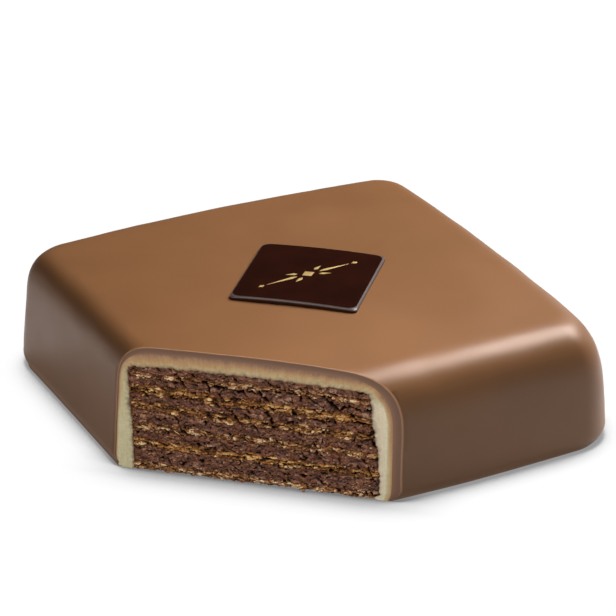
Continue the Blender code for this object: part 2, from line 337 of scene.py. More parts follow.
def bridge(bm, loops, ring=True):
    """Faces between each loop of vertices and the next. A ring's end meets its own start."""
    for low, high in zip(loops, loops[1:]):
        for index in range(len(low) if ring else len(low) - 1):
            after = (index + 1) % len(low)
            bm.faces.new((low[index], low[after], high[after], high[index]))


def set_attributes(obj, **named):
    """Keeps values for each vertex under the names that the material reads."""
    mesh = obj.data
    for name, values in named.items():
        data = np.zeros(len(mesh.vertices), np.float32)
        data[: np.size(values)] = np.ravel(values)
        layer = mesh.attributes.get(name) or mesh.attributes.new(name, "FLOAT", "POINT")
        layer.data.foreach_set("value", data)


# The poured block.


def wall_profile(side, inset, top_inset):
    """(distance in from the square's side, height) from the base up to the flat top."""
    top = EDGE_HEIGHT - top_inset
    tuck = side.tuck * (INNER_TUCK if inset else 1.0)
    drop = side.drop - top_inset
    run = side.run - inset
    shoulder = top - drop
    power = 2 / SHOULDER_POWER
    steps = []
    for step in range(FOOT_STEPS):
        height = FOOT_HEIGHT * step / FOOT_STEPS
        steps.append((tuck * (1 - height / FOOT_HEIGHT) ** 2, height))
    for step in range(WALL_STEPS):
        steps.append((0.0, FOOT_HEIGHT + (shoulder - FOOT_HEIGHT) * step / WALL_STEPS))
    for step in range(SHOULDER_STEPS + 1):
        angle = math.pi / 2 * step / SHOULDER_STEPS
        across = run * (1 - max(math.cos(angle), 0.0) ** power)
        steps.append((across, shoulder + drop * math.sin(angle) ** power))
    lean = side.lean / (EDGE_HEIGHT - FOOT_HEIGHT)
    return [
        (inset + across + lean * max(height - FOOT_HEIGHT, 0), height) for across, height in steps
    ]


def crown_height(x, y):
    """How far the flat top bulges up at a place."""
    across = 1 - abs(x / HALF_SIDE) ** CROWN_POWER
    along = 1 - abs(y / HALF_SIDE) ** CROWN_POWER
    return CROWN * max(across, 0) * max(along, 0)


def bowed(x, y):
    """Bows the square's sides: their ends come in and their middles stay."""
    side_x = RIGHT if x > 0 else LEFT
    side_y = BACK if y > 0 else FRONT
    share_x = x / HALF_SIDE
    share_y = y / HALF_SIDE
    return x - side_x.bow * share_x * share_y**2, y - side_y.bow * share_y * share_x**2


def hand_poured(place):
    """How far a point of the side lies inside its box: 0 to UNEVENNESS."""
    wave = noise.noise(place / UNEVENNESS_LENGTH) / NOISE_REACH
    return UNEVENNESS * min(max((1 + wave) / 2, 0.0), 1.0)


def ring_of(left, front, right, back):
    """One turn round the block. Each side gives (distance in, height)."""
    corners = (
        (front, right, 1, -1, -90),
        (right, back, 1, 1, 0),
        (back, left, -1, 1, 90),
        (left, front, -1, -1, 180),
    )
    reach_x = {-1: HALF_SIDE - left[0], 1: HALF_SIDE - right[0]}
    reach_y = {-1: HALF_SIDE - front[0], 1: HALF_SIDE - back[0]}
    arcs = []
    for first, second, sign_x, sign_y, start in corners:
        radius = max(CORNER_RADIUS - (first[0] + second[0]) / 4, LEAST_CORNER_RADIUS)
        centre_x = sign_x * (reach_x[sign_x] - radius)
        centre_y = sign_y * (reach_y[sign_y] - radius)
        arc = []
        for step in range(CORNER_STEPS + 1):
            share = step / CORNER_STEPS
            angle = math.radians(start + 90 * share)
            blend = 0.5 - 0.5 * math.cos(math.pi * share)
            x = centre_x + radius * math.cos(angle)
            y = centre_y + radius * math.sin(angle)
            arc.append(Vector((x, y, first[1] * (1 - blend) + second[1] * blend)))
        arcs.append(arc)
    line = []
    for arc, following in zip(arcs, arcs[1:] + arcs[:1]):
        line += arc
        line += [arc[-1].lerp(following[0], i / STRAIGHT_STEPS) for i in range(1, STRAIGHT_STEPS)]
    return line


def skin(insets, top_inset):
    """The block's surface, open at the base, inside the coat's outside by an inset a side."""
    profiles = [wall_profile(side, inset, top_inset) for side, inset in zip(SIDES, insets)]
    rings = [ring_of(*levels) for levels in zip(*profiles)]
    flat = rings[-1]
    for share in CROWN_RINGS:
        rings.append([Vector((point.x * share, point.y * share, point.z)) for point in flat])
    bm = bmesh.new()
    loops = []
    for ring in rings:
        loop = []
        for point in ring:
            rise = crown_height(point.x, point.y) * (max(point.z, 0) / EDGE_HEIGHT) ** 2
            shrink = 1 - hand_poured(point) / HALF_SIDE
            x, y = bowed(point.x, point.y)
            loop.append(bm.verts.new((x * shrink, y * shrink, point.z + rise)))
        loops.append(loop)
    bridge(bm, loops)
    bm.faces.new(loops[-1])
    return bm


def trim(bm, depth):
    """Takes off what lies in front of the cut, or of a plane at a depth behind it."""
    plane = CUT_LEFT - OUTWARD * depth
    bmesh.ops.bisect_plane(
        bm, geom=[*bm.verts, *bm.edges, *bm.faces], dist=1e-7,
        plane_co=plane.to_3d(), plane_no=OUTWARD_3D, clear_outer=True,
    )


def open_chains(bm, depth, among=None):
    """The open edge of a trimmed skin, or of some of a mesh's points: its part on the cut and
    its part on the base, both from the left to the right."""
    def on_plane(vert):
        return abs((vert.co.xy - CUT_LEFT).dot(OUTWARD) + depth) < 1e-6

    rim = [
        edge for edge in bm.edges
        if edge.is_boundary and (among is None or edge.verts[0] in among)
    ]
    neighbours = {}
    for edge in rim:
        for vert in edge.verts:
            neighbours.setdefault(vert, []).append(edge)
    on_cut = {edge for edge in rim if all(on_plane(vert) for vert in edge.verts)}
    ends = [
        vert for vert, edges in neighbours.items() if len({edge in on_cut for edge in edges}) == 2
    ]
    start = min(ends, key=lambda vert: vert.co.x)

    def walk(wanted):
        chain, used = [start], set()
        while True:
            step = [
                edge for edge in neighbours[chain[-1]]
                if (edge in on_cut) == wanted and edge not in used
            ]
            if not step:
                return chain
            used.add(step[0])
            chain.append(step[0].other_vert(chain[-1]))

    return walk(True), walk(False)


def shares_of(places):
    """How far along a line of points each one lies, from 0 to 1."""
    steps = [0.0] + [(b - a).length for a, b in zip(places, places[1:])]
    total = np.cumsum(steps)
    return total / total[-1]


def resampled(places, shares):
    """Points at given shares of a line's length."""
    table = np.array([tuple(place) for place in places])
    own = shares_of(places)
    columns = [np.interp(shares, own, table[:, axis]) for axis in range(3)]
    return [Vector(point) for point in zip(*columns)]


def zip_chains(bm, first, second):
    """Closes the strip between two chains of vertices with triangles."""
    a, b = shares_of([v.co for v in first]), shares_of([v.co for v in second])
    i = j = 0
    while i < len(first) - 1 or j < len(second) - 1:
        ahead = i < len(first) - 1 and (j == len(second) - 1 or a[i + 1] <= b[j + 1])
        if ahead:
            bm.faces.new((first[i], first[i + 1], second[j]))
            i += 1
        else:
            bm.faces.new((first[i], second[j + 1], second[j]))
            j += 1


def from_cut(distance, height, out=0.0):
    """The point a distance along the cut, at a height, and out from it."""
    spot = CUT_LEFT + ALONG * distance + OUTWARD * out
    return Vector((spot.x, spot.y, height))


def lining():
    """The coat's inside, as deep in from each side as the coat is thick there."""
    return skin([side.coat for side in SIDES], TOP_COAT)


def inner_cut_line():
    """Where the coat's inside meets the cut, from the left up and over to the right."""
    bm = lining()
    trim(bm, 0.0)
    line = [vert.co.copy() for vert in open_chains(bm, 0.0)[0]]
    bm.free()
    return line


# Materials. Colours of spots too small for a setting of their own. The two tints multiply what
# they are mixed with, so they are plain red, green, blue and alpha.
# Painted highlight: the coat's rounded rim along the cut, paler than the coat.
RIM_HIGHLIGHT = linear("#967159")
PALE_CREAM = linear("#A58068")
CLEAN_WAFER = linear("#CDA479")
PALE_WAFER = linear("#E4CBA8")
RUDDY_TINT = (1.0, 0.84, 0.66, 1.0)
GOLDEN_TINT = (1.1, 0.98, 0.55, 1.0)
# Painted shade, nearly black, down in the tears and near the stack's ends.
TEAR_SHADE_COLOUR = (*linear("#160905"), 1.0)
# Painted highlight on the plaque's upper edge.
EDGE_HIGHLIGHT_COLOUR = (*linear("#615250"), 1.0)
# Marzipan under the chocolate that the knife drew over it, from a thin smear to a thick one.
SMEARED_MARZIPAN = [
    (0.15, linear("#D0C59C")), (0.3, linear("#C8AE82")), (0.5, linear("#BE9564")),
    (0.7, linear("#AE8662")), (0.85, linear("#9A755A")), (1.0, linear("#866450")),
]


def couverture(colours):
    """Milk chocolate couverture, poured and left to set: an even satin brown. Slow drifts of
    tone and gloss come from how it ran. Its rim along the cut is painted paler as a highlight,
    its section duller and greyer."""
    made, tree, shader, place = new_material("poured_milk_couverture")
    drift = add_node(tree, "TexNoise", {"Scale": per(22 * MM), "Detail": 2.0, "Vector": place})
    tone = add_node(
        tree, "ValToRGB", {"Fac": drift},
        stops=[(0.3, shade(colours.coat, 0.95)), (0.7, shade(colours.coat, 1.05))])
    section = add_node(tree, "Attribute", {"attribute_name": "section"}, output="Fac")
    # The rim's pale stop is a painted highlight.
    inward = add_node(
        tree, "ValToRGB", {"Fac": section},
        stops=[
            (0.1, RIM_HIGHLIGHT), (0.3, colours.coat_section), (0.5, colours.coat_section),
            (1.0, shade(colours.coat_section, 1.6)),
        ])
    on_cut = add_node(tree, "MapRange", {"From Max": 0.1, "Value": section})
    mixed = add_node(tree, "Mix", {"data_type": "RGBA", 0: on_cut, 6: tone, 7: inward})
    tree.links.new(mixed, shader.inputs["Base Color"])
    gloss = add_node(tree, "MapRange", {"To Min": 0.36, "To Max": 0.42, "Value": drift})
    dull = add_node(
        tree, "MapRange", {"From Min": 0.3, "To Min": 0.0, "To Max": 0.25, "Value": section})
    rough = add_node(tree, "Math", {"operation": "ADD", 0: gloss, 1: dull})
    tree.links.new(rough, shader.inputs["Roughness"])
    grain = add_node(tree, "TexNoise", {"Scale": per(0.9 * MM), "Detail": 3.0, "Vector": place})
    bump = add_node(tree, "Bump", {"Strength": 0.25, "Distance": 0.03 * MM, "Height": grain})
    tree.links.new(bump, shader.inputs["Normal"])
    shader.inputs["IOR"].default_value = 1.47
    return made


def rolled_marzipan(colours):
    """Rolled almond paste: pale and faintly oily, with fine almond grain. The knife drew the
    coat's chocolate over its edge in upright strokes. Beside the layers, crumbs and painted shade
    darken it."""
    made, tree, shader, place = new_material("rolled_marzipan")
    strokes = add_node(
        tree, "Mapping", {
            "Rotation": (0, 0, -math.atan2(ALONG.y, ALONG.x)),
            "Scale": (per(0.28 * MM), per(4 * MM), per(4 * MM)), "Vector": place,
        })
    stroke_noise = add_node(tree, "TexNoise", {"Scale": 1.0, "Detail": 2.0, "Vector": strokes})
    smear = add_node(tree, "Attribute", {"attribute_name": "smear"}, output="Fac")
    stroked = add_node(
        tree, "MapRange",
        {"From Min": 0.3, "From Max": 0.7, "To Min": -0.05, "To Max": 0.05, "Value": stroke_noise})
    level = add_node(tree, "Math", {"operation": "ADD", 0: smear, 1: stroked})
    tone = add_node(
        tree, "ValToRGB", {"Fac": level}, stops=[(0.0, colours.marzipan), *SMEARED_MARZIPAN])
    grain = add_node(tree, "TexNoise", {"Scale": per(0.5 * MM), "Detail": 4.0, "Vector": place})
    speck = add_node(
        tree, "MapRange",
        {"From Min": 0.35, "From Max": 0.65, "To Min": 0.93, "To Max": 1.04, "Value": grain})
    tinted = add_node(
        tree, "Mix", {"data_type": "RGBA", "blend_type": "MULTIPLY", 0: 1.0, 6: tone, 7: speck})
    # Beside the stack the marzipan is darkened partly by crumbs and partly by painted shade.
    crumbed = add_node(tree, "Attribute", {"attribute_name": "crumbed"}, output="Fac")
    crumbs = (*shade(colours.cream, 0.9), 1.0)
    dusted_and_shaded = add_node(tree, "Mix", {"data_type": "RGBA", 0: crumbed, 6: tinted, 7: crumbs})
    tree.links.new(dusted_and_shaded, shader.inputs["Base Color"])
    bump = add_node(
        tree, "Bump", {"Strength": 0.35, "Distance": 0.08 * MM, "Height": stroke_noise})
    tree.links.new(bump, shader.inputs["Normal"])
    shader.inputs["Roughness"].default_value = 0.55
    shader.inputs["IOR"].default_value = 1.45
    return made


def crumb_material(name, colours):
    """Cream and wafer by their tone, cream where it is smeared, and painted nearly black as shade,
    without lustre, down in the tears and near the stack's ends and top. Gives the material and its
    shader."""
    made, tree, shader, place = new_material(name)
    mottle = add_node(tree, "TexNoise", {"Scale": per(0.4 * MM), "Detail": 3.0, "Vector": place})
    shift = add_node(
        tree, "MapRange",
        {"From Min": 0.25, "From Max": 0.75, "To Min": -0.09, "To Max": 0.09, "Value": mottle})
    tone, baked, smear, tear = (
        add_node(tree, "Attribute", {"attribute_name": attribute}, output="Fac")
        for attribute in ("tone", "golden", "smear", "tear"))
    level = add_node(tree, "Math", {"operation": "ADD", 0: tone, 1: shift})
    cream = add_node(
        tree, "ValToRGB", {"Fac": level},
        stops=[
            (0.0, shade(colours.cream, 0.08)), (0.3, shade(colours.cream, 0.45)),
            (0.5, shade(colours.cream, 0.85)), (0.75, shade(colours.cream, 1.35)),
            (1.0, PALE_CREAM),
        ])
    region = add_node(tree, "TexNoise", {"Scale": per(7 * MM), "Detail": 1.0, "Vector": place})
    ruddy = add_node(
        tree, "MapRange",
        {"From Min": 0.4, "From Max": 0.65, "To Min": 0.0, "To Max": 0.55, "Value": region})
    warm = add_node(
        tree, "Mix",
        {"data_type": "RGBA", "blend_type": "MULTIPLY", 0: ruddy, 6: cream, 7: RUDDY_TINT})
    wafer = add_node(
        tree, "ValToRGB", {"Fac": level},
        stops=[
            (0.0, shade(colours.cream, 0.05)), (0.24, shade(colours.cream, 0.4)),
            (0.44, shade(colours.wafer, 0.3)), (0.64, shade(colours.wafer, 0.7)),
            (0.82, CLEAN_WAFER), (1.0, PALE_WAFER),
        ])
    amber = add_node(tree, "Math", {"operation": "MULTIPLY_ADD", 0: ruddy, 1: 0.35, 2: baked})
    golden = add_node(
        tree, "Mix",
        {"data_type": "RGBA", "blend_type": "MULTIPLY", 0: amber, 6: wafer, 7: GOLDEN_TINT})
    smeared = add_node(tree, "Mix", {"data_type": "RGBA", 0: smear, 6: golden, 7: warm})
    # The tear attribute paints shade: nearly black in the tears, darker near the stack's ends and
    # top.
    torn = add_node(tree, "Mix", {"data_type": "RGBA", 0: tear, 6: smeared, 7: TEAR_SHADE_COLOUR})
    tree.links.new(torn, shader.inputs["Base Color"])
    lustre = add_node(tree, "MapRange", {"To Min": 0.5, "To Max": 0.0, "Value": tear})
    tree.links.new(lustre, shader.inputs["Specular IOR Level"])
    return made, shader


def torn_cream(colours):
    """Chocolate and hazelnut cream, cut with a knife: soft brown crumbs with a faint oily
    sheen, dark holes between them deepened with painted shade, and specks of wafer dragged in."""
    made, shader = crumb_material("torn_chocolate_cream", colours)
    shader.inputs["Roughness"].default_value = 0.55
    shader.inputs["IOR"].default_value = 1.45
    return made


def broken_wafer(colours):
    """Thin baked wafer, broken by the knife: dry, matt flakes from amber to pale cream, with
    chocolate cream smeared over part of them."""
    made, shader = crumb_material("broken_baked_wafer", colours)
    shader.inputs["Roughness"].default_value = 0.85
    shader.inputs["IOR"].default_value = 1.25
    return made


def moulded_dark_chocolate(colours):
    """Dark chocolate set in a polished mould: nearly black, with a high gloss. Its upper edge
    is rougher and painted a paler grey brown, as a highlight."""
    made, tree, shader, place = new_material("moulded_dark_chocolate")
    drift = add_node(tree, "TexNoise", {"Scale": per(7 * MM), "Detail": 2.0, "Vector": place})
    tone = add_node(
        tree, "ValToRGB", {"Fac": drift},
        stops=[(0.3, shade(colours.plaque, 0.85)), (0.7, shade(colours.plaque, 1.15))])
    # The upper edge is painted paler as a highlight, and made rougher.
    scuffed = add_node(tree, "Attribute", {"attribute_name": "scuffed"}, output="Fac")
    highlighted_edge = add_node(tree, "Mix", {"data_type": "RGBA", 0: scuffed, 6: tone, 7: EDGE_HIGHLIGHT_COLOUR})
    tree.links.new(highlighted_edge, shader.inputs["Base Color"])
    gloss = add_node(tree, "MapRange", {"To Min": 0.16, "To Max": 0.24, "Value": drift})
    rough = add_node(tree, "Mix", {"data_type": "FLOAT", 0: scuffed, 2: gloss, 3: 0.36})
    tree.links.new(rough, shader.inputs["Roughness"])
    shader.inputs["IOR"].default_value = 1.47
    return made


def gold_dust(colours):
    """Edible gold dust brushed on the chocolate: fine mica flakes, a warm yellow with a soft,
    slightly grainy metal lustre."""
    made, tree, shader, place = new_material("brushed_gold_dust")
    grain = add_node(tree, "TexNoise", {"Scale": per(0.35 * MM), "Detail": 2.0, "Vector": place})
    tone = add_node(
        tree, "ValToRGB", {"Fac": grain},
        stops=[(0.35, shade(colours.gold, 0.75)), (0.65, shade(colours.gold, 1.1))])
    tree.links.new(tone, shader.inputs["Base Color"])
    shader.inputs["Metallic"].default_value = 0.4
    shader.inputs["Roughness"].default_value = 0.45
    return made


# Relief of the cut.


def noise_at(across, up, offset=0.0):
    """Smooth noise, about -1 to 1, for arrays of places."""
    values = [noise.noise((x, y, offset)) for x, y in zip(across.ravel(), up.ravel())]
    return np.array(values).reshape(across.shape) / NOISE_REACH


def noises_at(across, up, offset, waves):
    """Smooth noises added up, one for each wave's amount, width and height."""
    return sum(
        amount * noise_at(across / wide, up / high, offset + step)
        for step, (amount, wide, high) in enumerate(waves))


APART = Vector((7.0, 3.0, 1.0))  # keeps a crumb's two random numbers apart


def cells_at(across, up, offset=0.0):
    """For arrays of places, the distance to the nearest crumb's middle, how much nearer it is
    than the next one's, and two random numbers from 0 to 1 for that crumb."""
    rows = []
    for x, y in zip(across.ravel(), up.ravel()):
        (nearest, next_one, *_), (middle, *_) = noise.voronoi((x, y, offset))
        chances = noise.cell(middle * 97.0), noise.cell(middle * 53.0 + APART)
        rows.append((nearest, next_one - nearest, *chances))
    near, edge, first, second = np.array(rows).T.reshape(4, *across.shape)
    return near, edge, np.clip(first * 0.5 + 0.5, 0, 1), np.clip(second * 0.5 + 0.5, 0, 1)


def soft_step(values, low, high):
    """0 up to low, 1 from high on, and a smooth rise between."""
    share = np.clip((values - low) / (high - low), 0, 1)
    return share * share * (3 - 2 * share)


def stack_heights():
    """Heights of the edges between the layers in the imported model, from the table up."""
    boxes = [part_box(name) for name in LAYER_NAMES]
    between = [(below[1].z + above[0].z) / 2 for below, above in zip(boxes, boxes[1:])]
    return [0.0, *between, boxes[-1][1].z]


HEIGHTS = stack_heights()


def stack_ends(height):
    """Distances along the cut at which the stack starts and ends at a height."""
    share = height / HEIGHTS[-1]
    left = LEFT.coat + LEFT.marzipan + LEFT.stack_lean * share
    front = FRONT.coat + FRONT.marzipan + FRONT.stack_lean * share
    end = (CUT_RIGHT - CUT_LEFT).length + front / ALONG.y
    return (
        left / ALONG.x + float(np.interp(height, *LEFT_BULGE)),
        end + float(np.interp(height, *RIGHT_BULGE)),
    )


def drifted(drift, share):
    """A slow curve through the left, middle and right values."""
    left, middle, right = drift
    return (
        left * (1 - share) * (1 - 2 * share)
        + middle * 4 * share * (1 - share)
        + right * share * (2 * share - 1)
    )


def edge_line(number, distance):
    """Height of an edge between two layers along the cut: drifting, wavy and ragged."""
    start, end = stack_ends(HEIGHTS[number])
    share = (distance - start) / (end - start)
    millimetres = distance / MM
    rag = sum(
        amount * noise_at(millimetres / length, np.full_like(distance, number * apart))
        for amount, length, apart in RAGS)
    if number == 0:
        return np.clip(BASE_LIFT + BASE_RAG * rag, LEAST_LIFT, 1.0) * MM
    if number == len(LAYER_NAMES):
        return HEIGHTS[number] + drifted(TOP_DRIFT, share) + TOP_RAG * rag * MM
    name = LAYER_NAMES[number] if number % 2 == 0 else LAYER_NAMES[number - 1]
    row = np.full_like(distance, (number // 2 * 2) * WAVE_SPACING)
    wave = WAVE * noise_at(distance / WAVE_LENGTH, row)
    wave += 0.25 * WAVE * noise_at(distance / (3 * MM), row + number)
    return HEIGHTS[number] + drifted(WAFERS[name].drift, share) + wave + rag * MM


# The larger tears in the cut, read from the photograph: from a place to a place (each as
# a distance along the cut and a height), and how wide, in millimetres.
Tear = namedtuple("Tear", "across up to_across to_up width")
TEARS = [
    Tear(*values) for values in (
        (16.0, 28.6, 17.3, 28.4, 0.20), (17.2, 26.3, 18.7, 24.1, 0.36),
        (19.6, 28.1, 21.5, 27.0, 0.24), (20.7, 25.3, 21.8, 25.0, 0.20),
        (23.2, 26.3, 24.7, 25.0, 0.42), (25.8, 25.3, 31.3, 25.5, 0.16),
        (27.4, 25.6, 28.3, 24.6, 0.26), (30.6, 28.3, 31.6, 27.4, 0.20),
        (31.0, 25.1, 34.2, 23.7, 0.32), (34.0, 25.3, 37.0, 24.7, 0.24),
        (37.2, 25.8, 37.7, 24.5, 0.34), (37.7, 24.5, 39.4, 23.1, 0.30),
        (38.7, 28.3, 41.4, 26.8, 0.20), (40.9, 26.1, 42.3, 25.6, 0.20),
        (44.2, 25.9, 48.0, 25.6, 0.20), (47.7, 25.7, 47.3, 24.0, 0.30),
        (49.0, 25.6, 53.0, 22.9, 0.24), (52.3, 27.1, 54.0, 25.2, 0.30),
        (54.0, 25.2, 56.6, 23.1, 0.38), (56.9, 22.9, 58.6, 24.2, 0.26),
        (58.6, 24.2, 61.2, 24.1, 0.16), (61.0, 24.2, 62.6, 23.5, 0.30),
        (63.5, 23.9, 64.7, 23.8, 0.26), (59.0, 23.1, 61.1, 21.4, 0.30),
        (60.3, 20.5, 64.5, 20.0, 0.32), (55.1, 27.4, 56.6, 27.1, 0.32),
        (61.3, 28.4, 63.4, 28.2, 0.34), (8.2, 21.8, 12.0, 21.6, 0.16),
        (8.3, 21.4, 9.3, 20.2, 0.24), (14.9, 21.0, 16.4, 20.5, 0.26),
        (18.4, 21.0, 22.6, 21.0, 0.16), (19.7, 20.5, 20.6, 19.5, 0.20),
        (26.2, 20.4, 27.4, 19.9, 0.24), (38.5, 19.9, 40.0, 18.7, 0.30),
        (40.0, 18.7, 40.5, 17.0, 0.32), (45.4, 21.4, 46.4, 19.7, 0.28),
        (31.0, 18.2, 32.4, 16.0, 0.28), (34.0, 20.1, 35.1, 18.9, 0.20),
        (16.5, 17.1, 19.8, 17.1, 0.14), (50.0, 19.8, 53.9, 19.0, 0.24),
        (15.7, 15.9, 17.0, 13.8, 0.24), (11.4, 14.6, 12.0, 14.1, 0.34),
        (36.0, 15.4, 37.1, 13.9, 0.20), (43.9, 18.7, 46.1, 17.6, 0.22),
        (17.0, 12.8, 19.0, 11.3, 0.20), (24.5, 8.2, 26.1, 8.8, 0.24),
        (7.4, 7.9, 8.6, 7.4, 0.28), (46.5, 6.6, 52.0, 7.1, 0.16),
        (51.4, 3.6, 52.9, 2.5, 0.26), (62.9, 10.6, 63.7, 9.7, 0.34),
        (61.3, 14.1, 62.6, 13.3, 0.30), (41.4, 12.4, 42.9, 11.6, 0.22),
        (35.0, 11.6, 38.0, 10.8, 0.16), (65.0, 16.0, 66.0, 14.0, 0.30),
        (64.2, 8.5, 65.6, 5.0, 0.26), (5.2, 6.0, 6.6, 5.6, 0.20),
    )
]
SMALL_TEARS = 200
SMALL_TEAR_LENGTH = (0.3, 1.7)
SMALL_TEAR_WIDTH = (0.09, 0.26)
SMALL_TEAR_SLANT = (-30, 24)  # usual one and spread, in degrees
TEAR_SEED = 23
TEAR_SPREAD = 1.12  # how wide a tear opens, against its width in the table
TEAR_STRAY = 0.3  # how far a tear's sides wander, in millimetres
FLAKED_STRAY = (0.4, 0.22)  # and those of a clean place, across and up

# Places where the wafers show clean, read from the photograph too: middle along the cut and up,
# half width and half height in millimetres, and how pale.
Flaked = namedtuple("Flaked", "across up reach rise pale")
FLAKED = [
    Flaked(*values) for values in (
        (7.0, 25.9, 0.5, 0.35, 0.9), (9.8, 25.9, 1.4, 0.20, 0.9), (14.6, 26.4, 1.0, 0.30, 0.7),
        (25.8, 25.6, 1.4, 0.22, 0.8), (28.6, 26.0, 1.0, 0.45, 0.9), (30.3, 25.7, 1.0, 0.16, 0.8),
        (33.8, 26.6, 1.9, 0.60, 0.4), (41.4, 24.8, 0.7, 0.60, 1.0), (38.9, 25.8, 0.4, 0.30, 0.7),
        (47.3, 26.7, 1.5, 0.60, 0.4), (49.9, 26.4, 0.8, 0.55, 0.8), (51.3, 25.7, 0.8, 0.30, 0.4),
        (53.9, 26.6, 0.7, 0.40, 0.5), (57.5, 26.3, 1.0, 0.55, 0.6), (60.8, 25.9, 1.6, 0.40, 0.1),
        (9.6, 22.3, 1.9, 0.50, 0.6), (12.6, 21.4, 0.4, 0.60, 0.7), (14.0, 22.0, 0.6, 0.50, 0.7),
        (17.6, 22.2, 2.6, 0.55, 0.4), (21.4, 21.8, 1.0, 0.45, 0.5), (24.7, 21.8, 0.7, 0.90, 0.7),
        (31.0, 22.0, 2.2, 0.40, 0.3), (33.2, 21.0, 1.6, 0.60, 0.6), (41.0, 22.1, 2.7, 0.60, 0.4),
        (44.6, 21.6, 0.8, 0.30, 0.6), (49.8, 21.6, 1.9, 0.90, 0.4), (57.8, 21.0, 1.4, 0.60, 0.3),
        (64.7, 20.4, 0.6, 0.35, 1.0), (6.6, 18.4, 2.0, 0.35, 0.4), (11.5, 18.6, 1.0, 0.50, 0.3),
        (18.5, 17.9, 1.8, 0.50, 0.5), (25.9, 16.6, 1.0, 0.90, 0.6), (29.6, 16.1, 1.6, 0.45, 0.4),
        (35.0, 17.2, 2.4, 0.45, 0.5), (43.6, 16.5, 1.1, 0.50, 0.5), (48.6, 17.8, 1.6, 0.50, 0.4),
        (51.6, 16.5, 1.5, 0.32, 0.4), (59.6, 17.4, 1.0, 0.20, 0.8), (59.2, 16.1, 1.2, 0.60, 0.3),
        (8.0, 12.0, 0.4, 1.00, 0.6), (7.6, 11.6, 1.6, 0.24, 0.6), (12.9, 12.0, 1.2, 0.40, 0.7),
        (20.3, 11.7, 1.4, 0.40, 0.9), (23.5, 11.8, 0.8, 0.30, 0.6), (30.2, 12.3, 1.9, 0.20, 1.0),
        (31.0, 12.1, 0.6, 0.50, 1.0), (37.3, 12.1, 0.7, 0.40, 0.7), (39.9, 12.6, 0.4, 0.80, 0.6),
        (42.2, 12.6, 0.8, 0.35, 0.8), (43.6, 11.6, 0.8, 0.40, 0.8), (46.6, 12.1, 1.4, 0.26, 0.7),
        (56.0, 12.4, 1.0, 0.40, 0.6), (61.5, 11.8, 1.5, 0.70, 0.9), (6.6, 7.6, 1.8, 0.80, 0.0),
        (10.4, 7.8, 1.3, 0.40, 0.4), (15.0, 7.2, 0.7, 0.60, 0.2), (19.4, 7.2, 2.8, 0.60, 0.0),
        (26.2, 6.4, 1.2, 0.32, 0.3), (29.2, 7.5, 1.8, 0.60, 0.3), (34.7, 7.3, 2.3, 0.70, 0.5),
        (40.0, 7.7, 0.7, 0.28, 0.8), (44.2, 7.5, 1.7, 0.55, 0.3), (48.4, 7.5, 2.3, 0.32, 0.5),
        (54.2, 7.5, 1.8, 0.60, 0.3), (57.0, 7.2, 1.4, 0.85, 0.2), (61.0, 7.3, 0.8, 0.25, 0.5),
        (6.2, 1.7, 1.4, 0.45, 0.5), (10.5, 2.0, 1.8, 0.40, 0.1), (17.0, 1.5, 1.2, 0.50, 0.4),
        (19.6, 1.0, 1.0, 0.35, 0.8), (26.0, 1.4, 2.4, 0.50, 0.4), (37.2, 1.0, 1.2, 0.35, 0.5),
        (46.2, 1.2, 2.2, 0.45, 0.4), (52.0, 1.1, 1.6, 0.35, 0.6), (56.0, 0.9, 0.5, 0.30, 0.9),
        (59.2, 0.9, 1.1, 0.32, 0.7), (62.4, 1.0, 1.2, 0.32, 0.4),
    )
]


def small_tears():
    """Short tears strewn over the whole cut by chance."""
    draw = random.Random(TEAR_SEED)
    start, end = (value / MM for value in stack_ends(0.0))
    tears = []
    for _ in range(SMALL_TEARS):
        across, up = draw.uniform(start, end - 1), draw.uniform(1.5, 28)
        reach = draw.uniform(*SMALL_TEAR_LENGTH)
        angle = math.radians(draw.gauss(*SMALL_TEAR_SLANT))
        to = across + reach * math.cos(angle), up + reach * math.sin(angle)
        tears.append(Tear(across, up, *to, draw.uniform(*SMALL_TEAR_WIDTH)))
    return tears


def tear_field(across, up, tears):
    """1 in the middle of a tear and 0 away from it, for arrays of places in millimetres."""
    x = across + TEAR_STRAY * noise_at(across / 0.9, up / 0.9, 3.1)
    y = up + TEAR_STRAY * noise_at(across / 0.9, up / 0.9, 9.7)
    field = np.zeros_like(across)
    lowest, highest = up.min() - 1, up.max() + 1
    for tear in tears:
        if max(tear.up, tear.to_up) < lowest or min(tear.up, tear.to_up) > highest:
            continue
        right, rise = tear.to_across - tear.across, tear.to_up - tear.up
        length = math.hypot(right, rise)
        share = ((x - tear.across) * right + (y - tear.up) * rise) / length**2
        held = np.clip(share, 0, 1)
        apart = np.hypot(x - tear.across - held * right, y - tear.up - held * rise)
        width = TEAR_SPREAD * tear.width * (0.55 + 0.45 * np.sin(math.pi * held))
        field = np.maximum(field, np.exp(-((apart / width) ** 2)))
    return field


def flaked_field(across, up):
    """How clean, and how pale, the wafers show at arrays of places in millimetres."""
    x = across + FLAKED_STRAY[0] * noise_at(across / 0.7, up / 0.5, 5.2)
    y = up + FLAKED_STRAY[1] * noise_at(across / 0.7, up / 0.5, 1.9)
    clean, pale = np.zeros_like(across), np.zeros_like(across)
    lowest, highest = up.min() - 2, up.max() + 2
    for spot in FLAKED:
        if lowest < spot.up < highest:
            near = ((x - spot.across) / spot.reach) ** 2 + ((y - spot.up) / spot.rise) ** 2
            here = np.exp(-(near**1.5))
            pale = np.where(here > clean, here * spot.pale, pale)
            clean = np.maximum(clean, here)
    return clean, pale


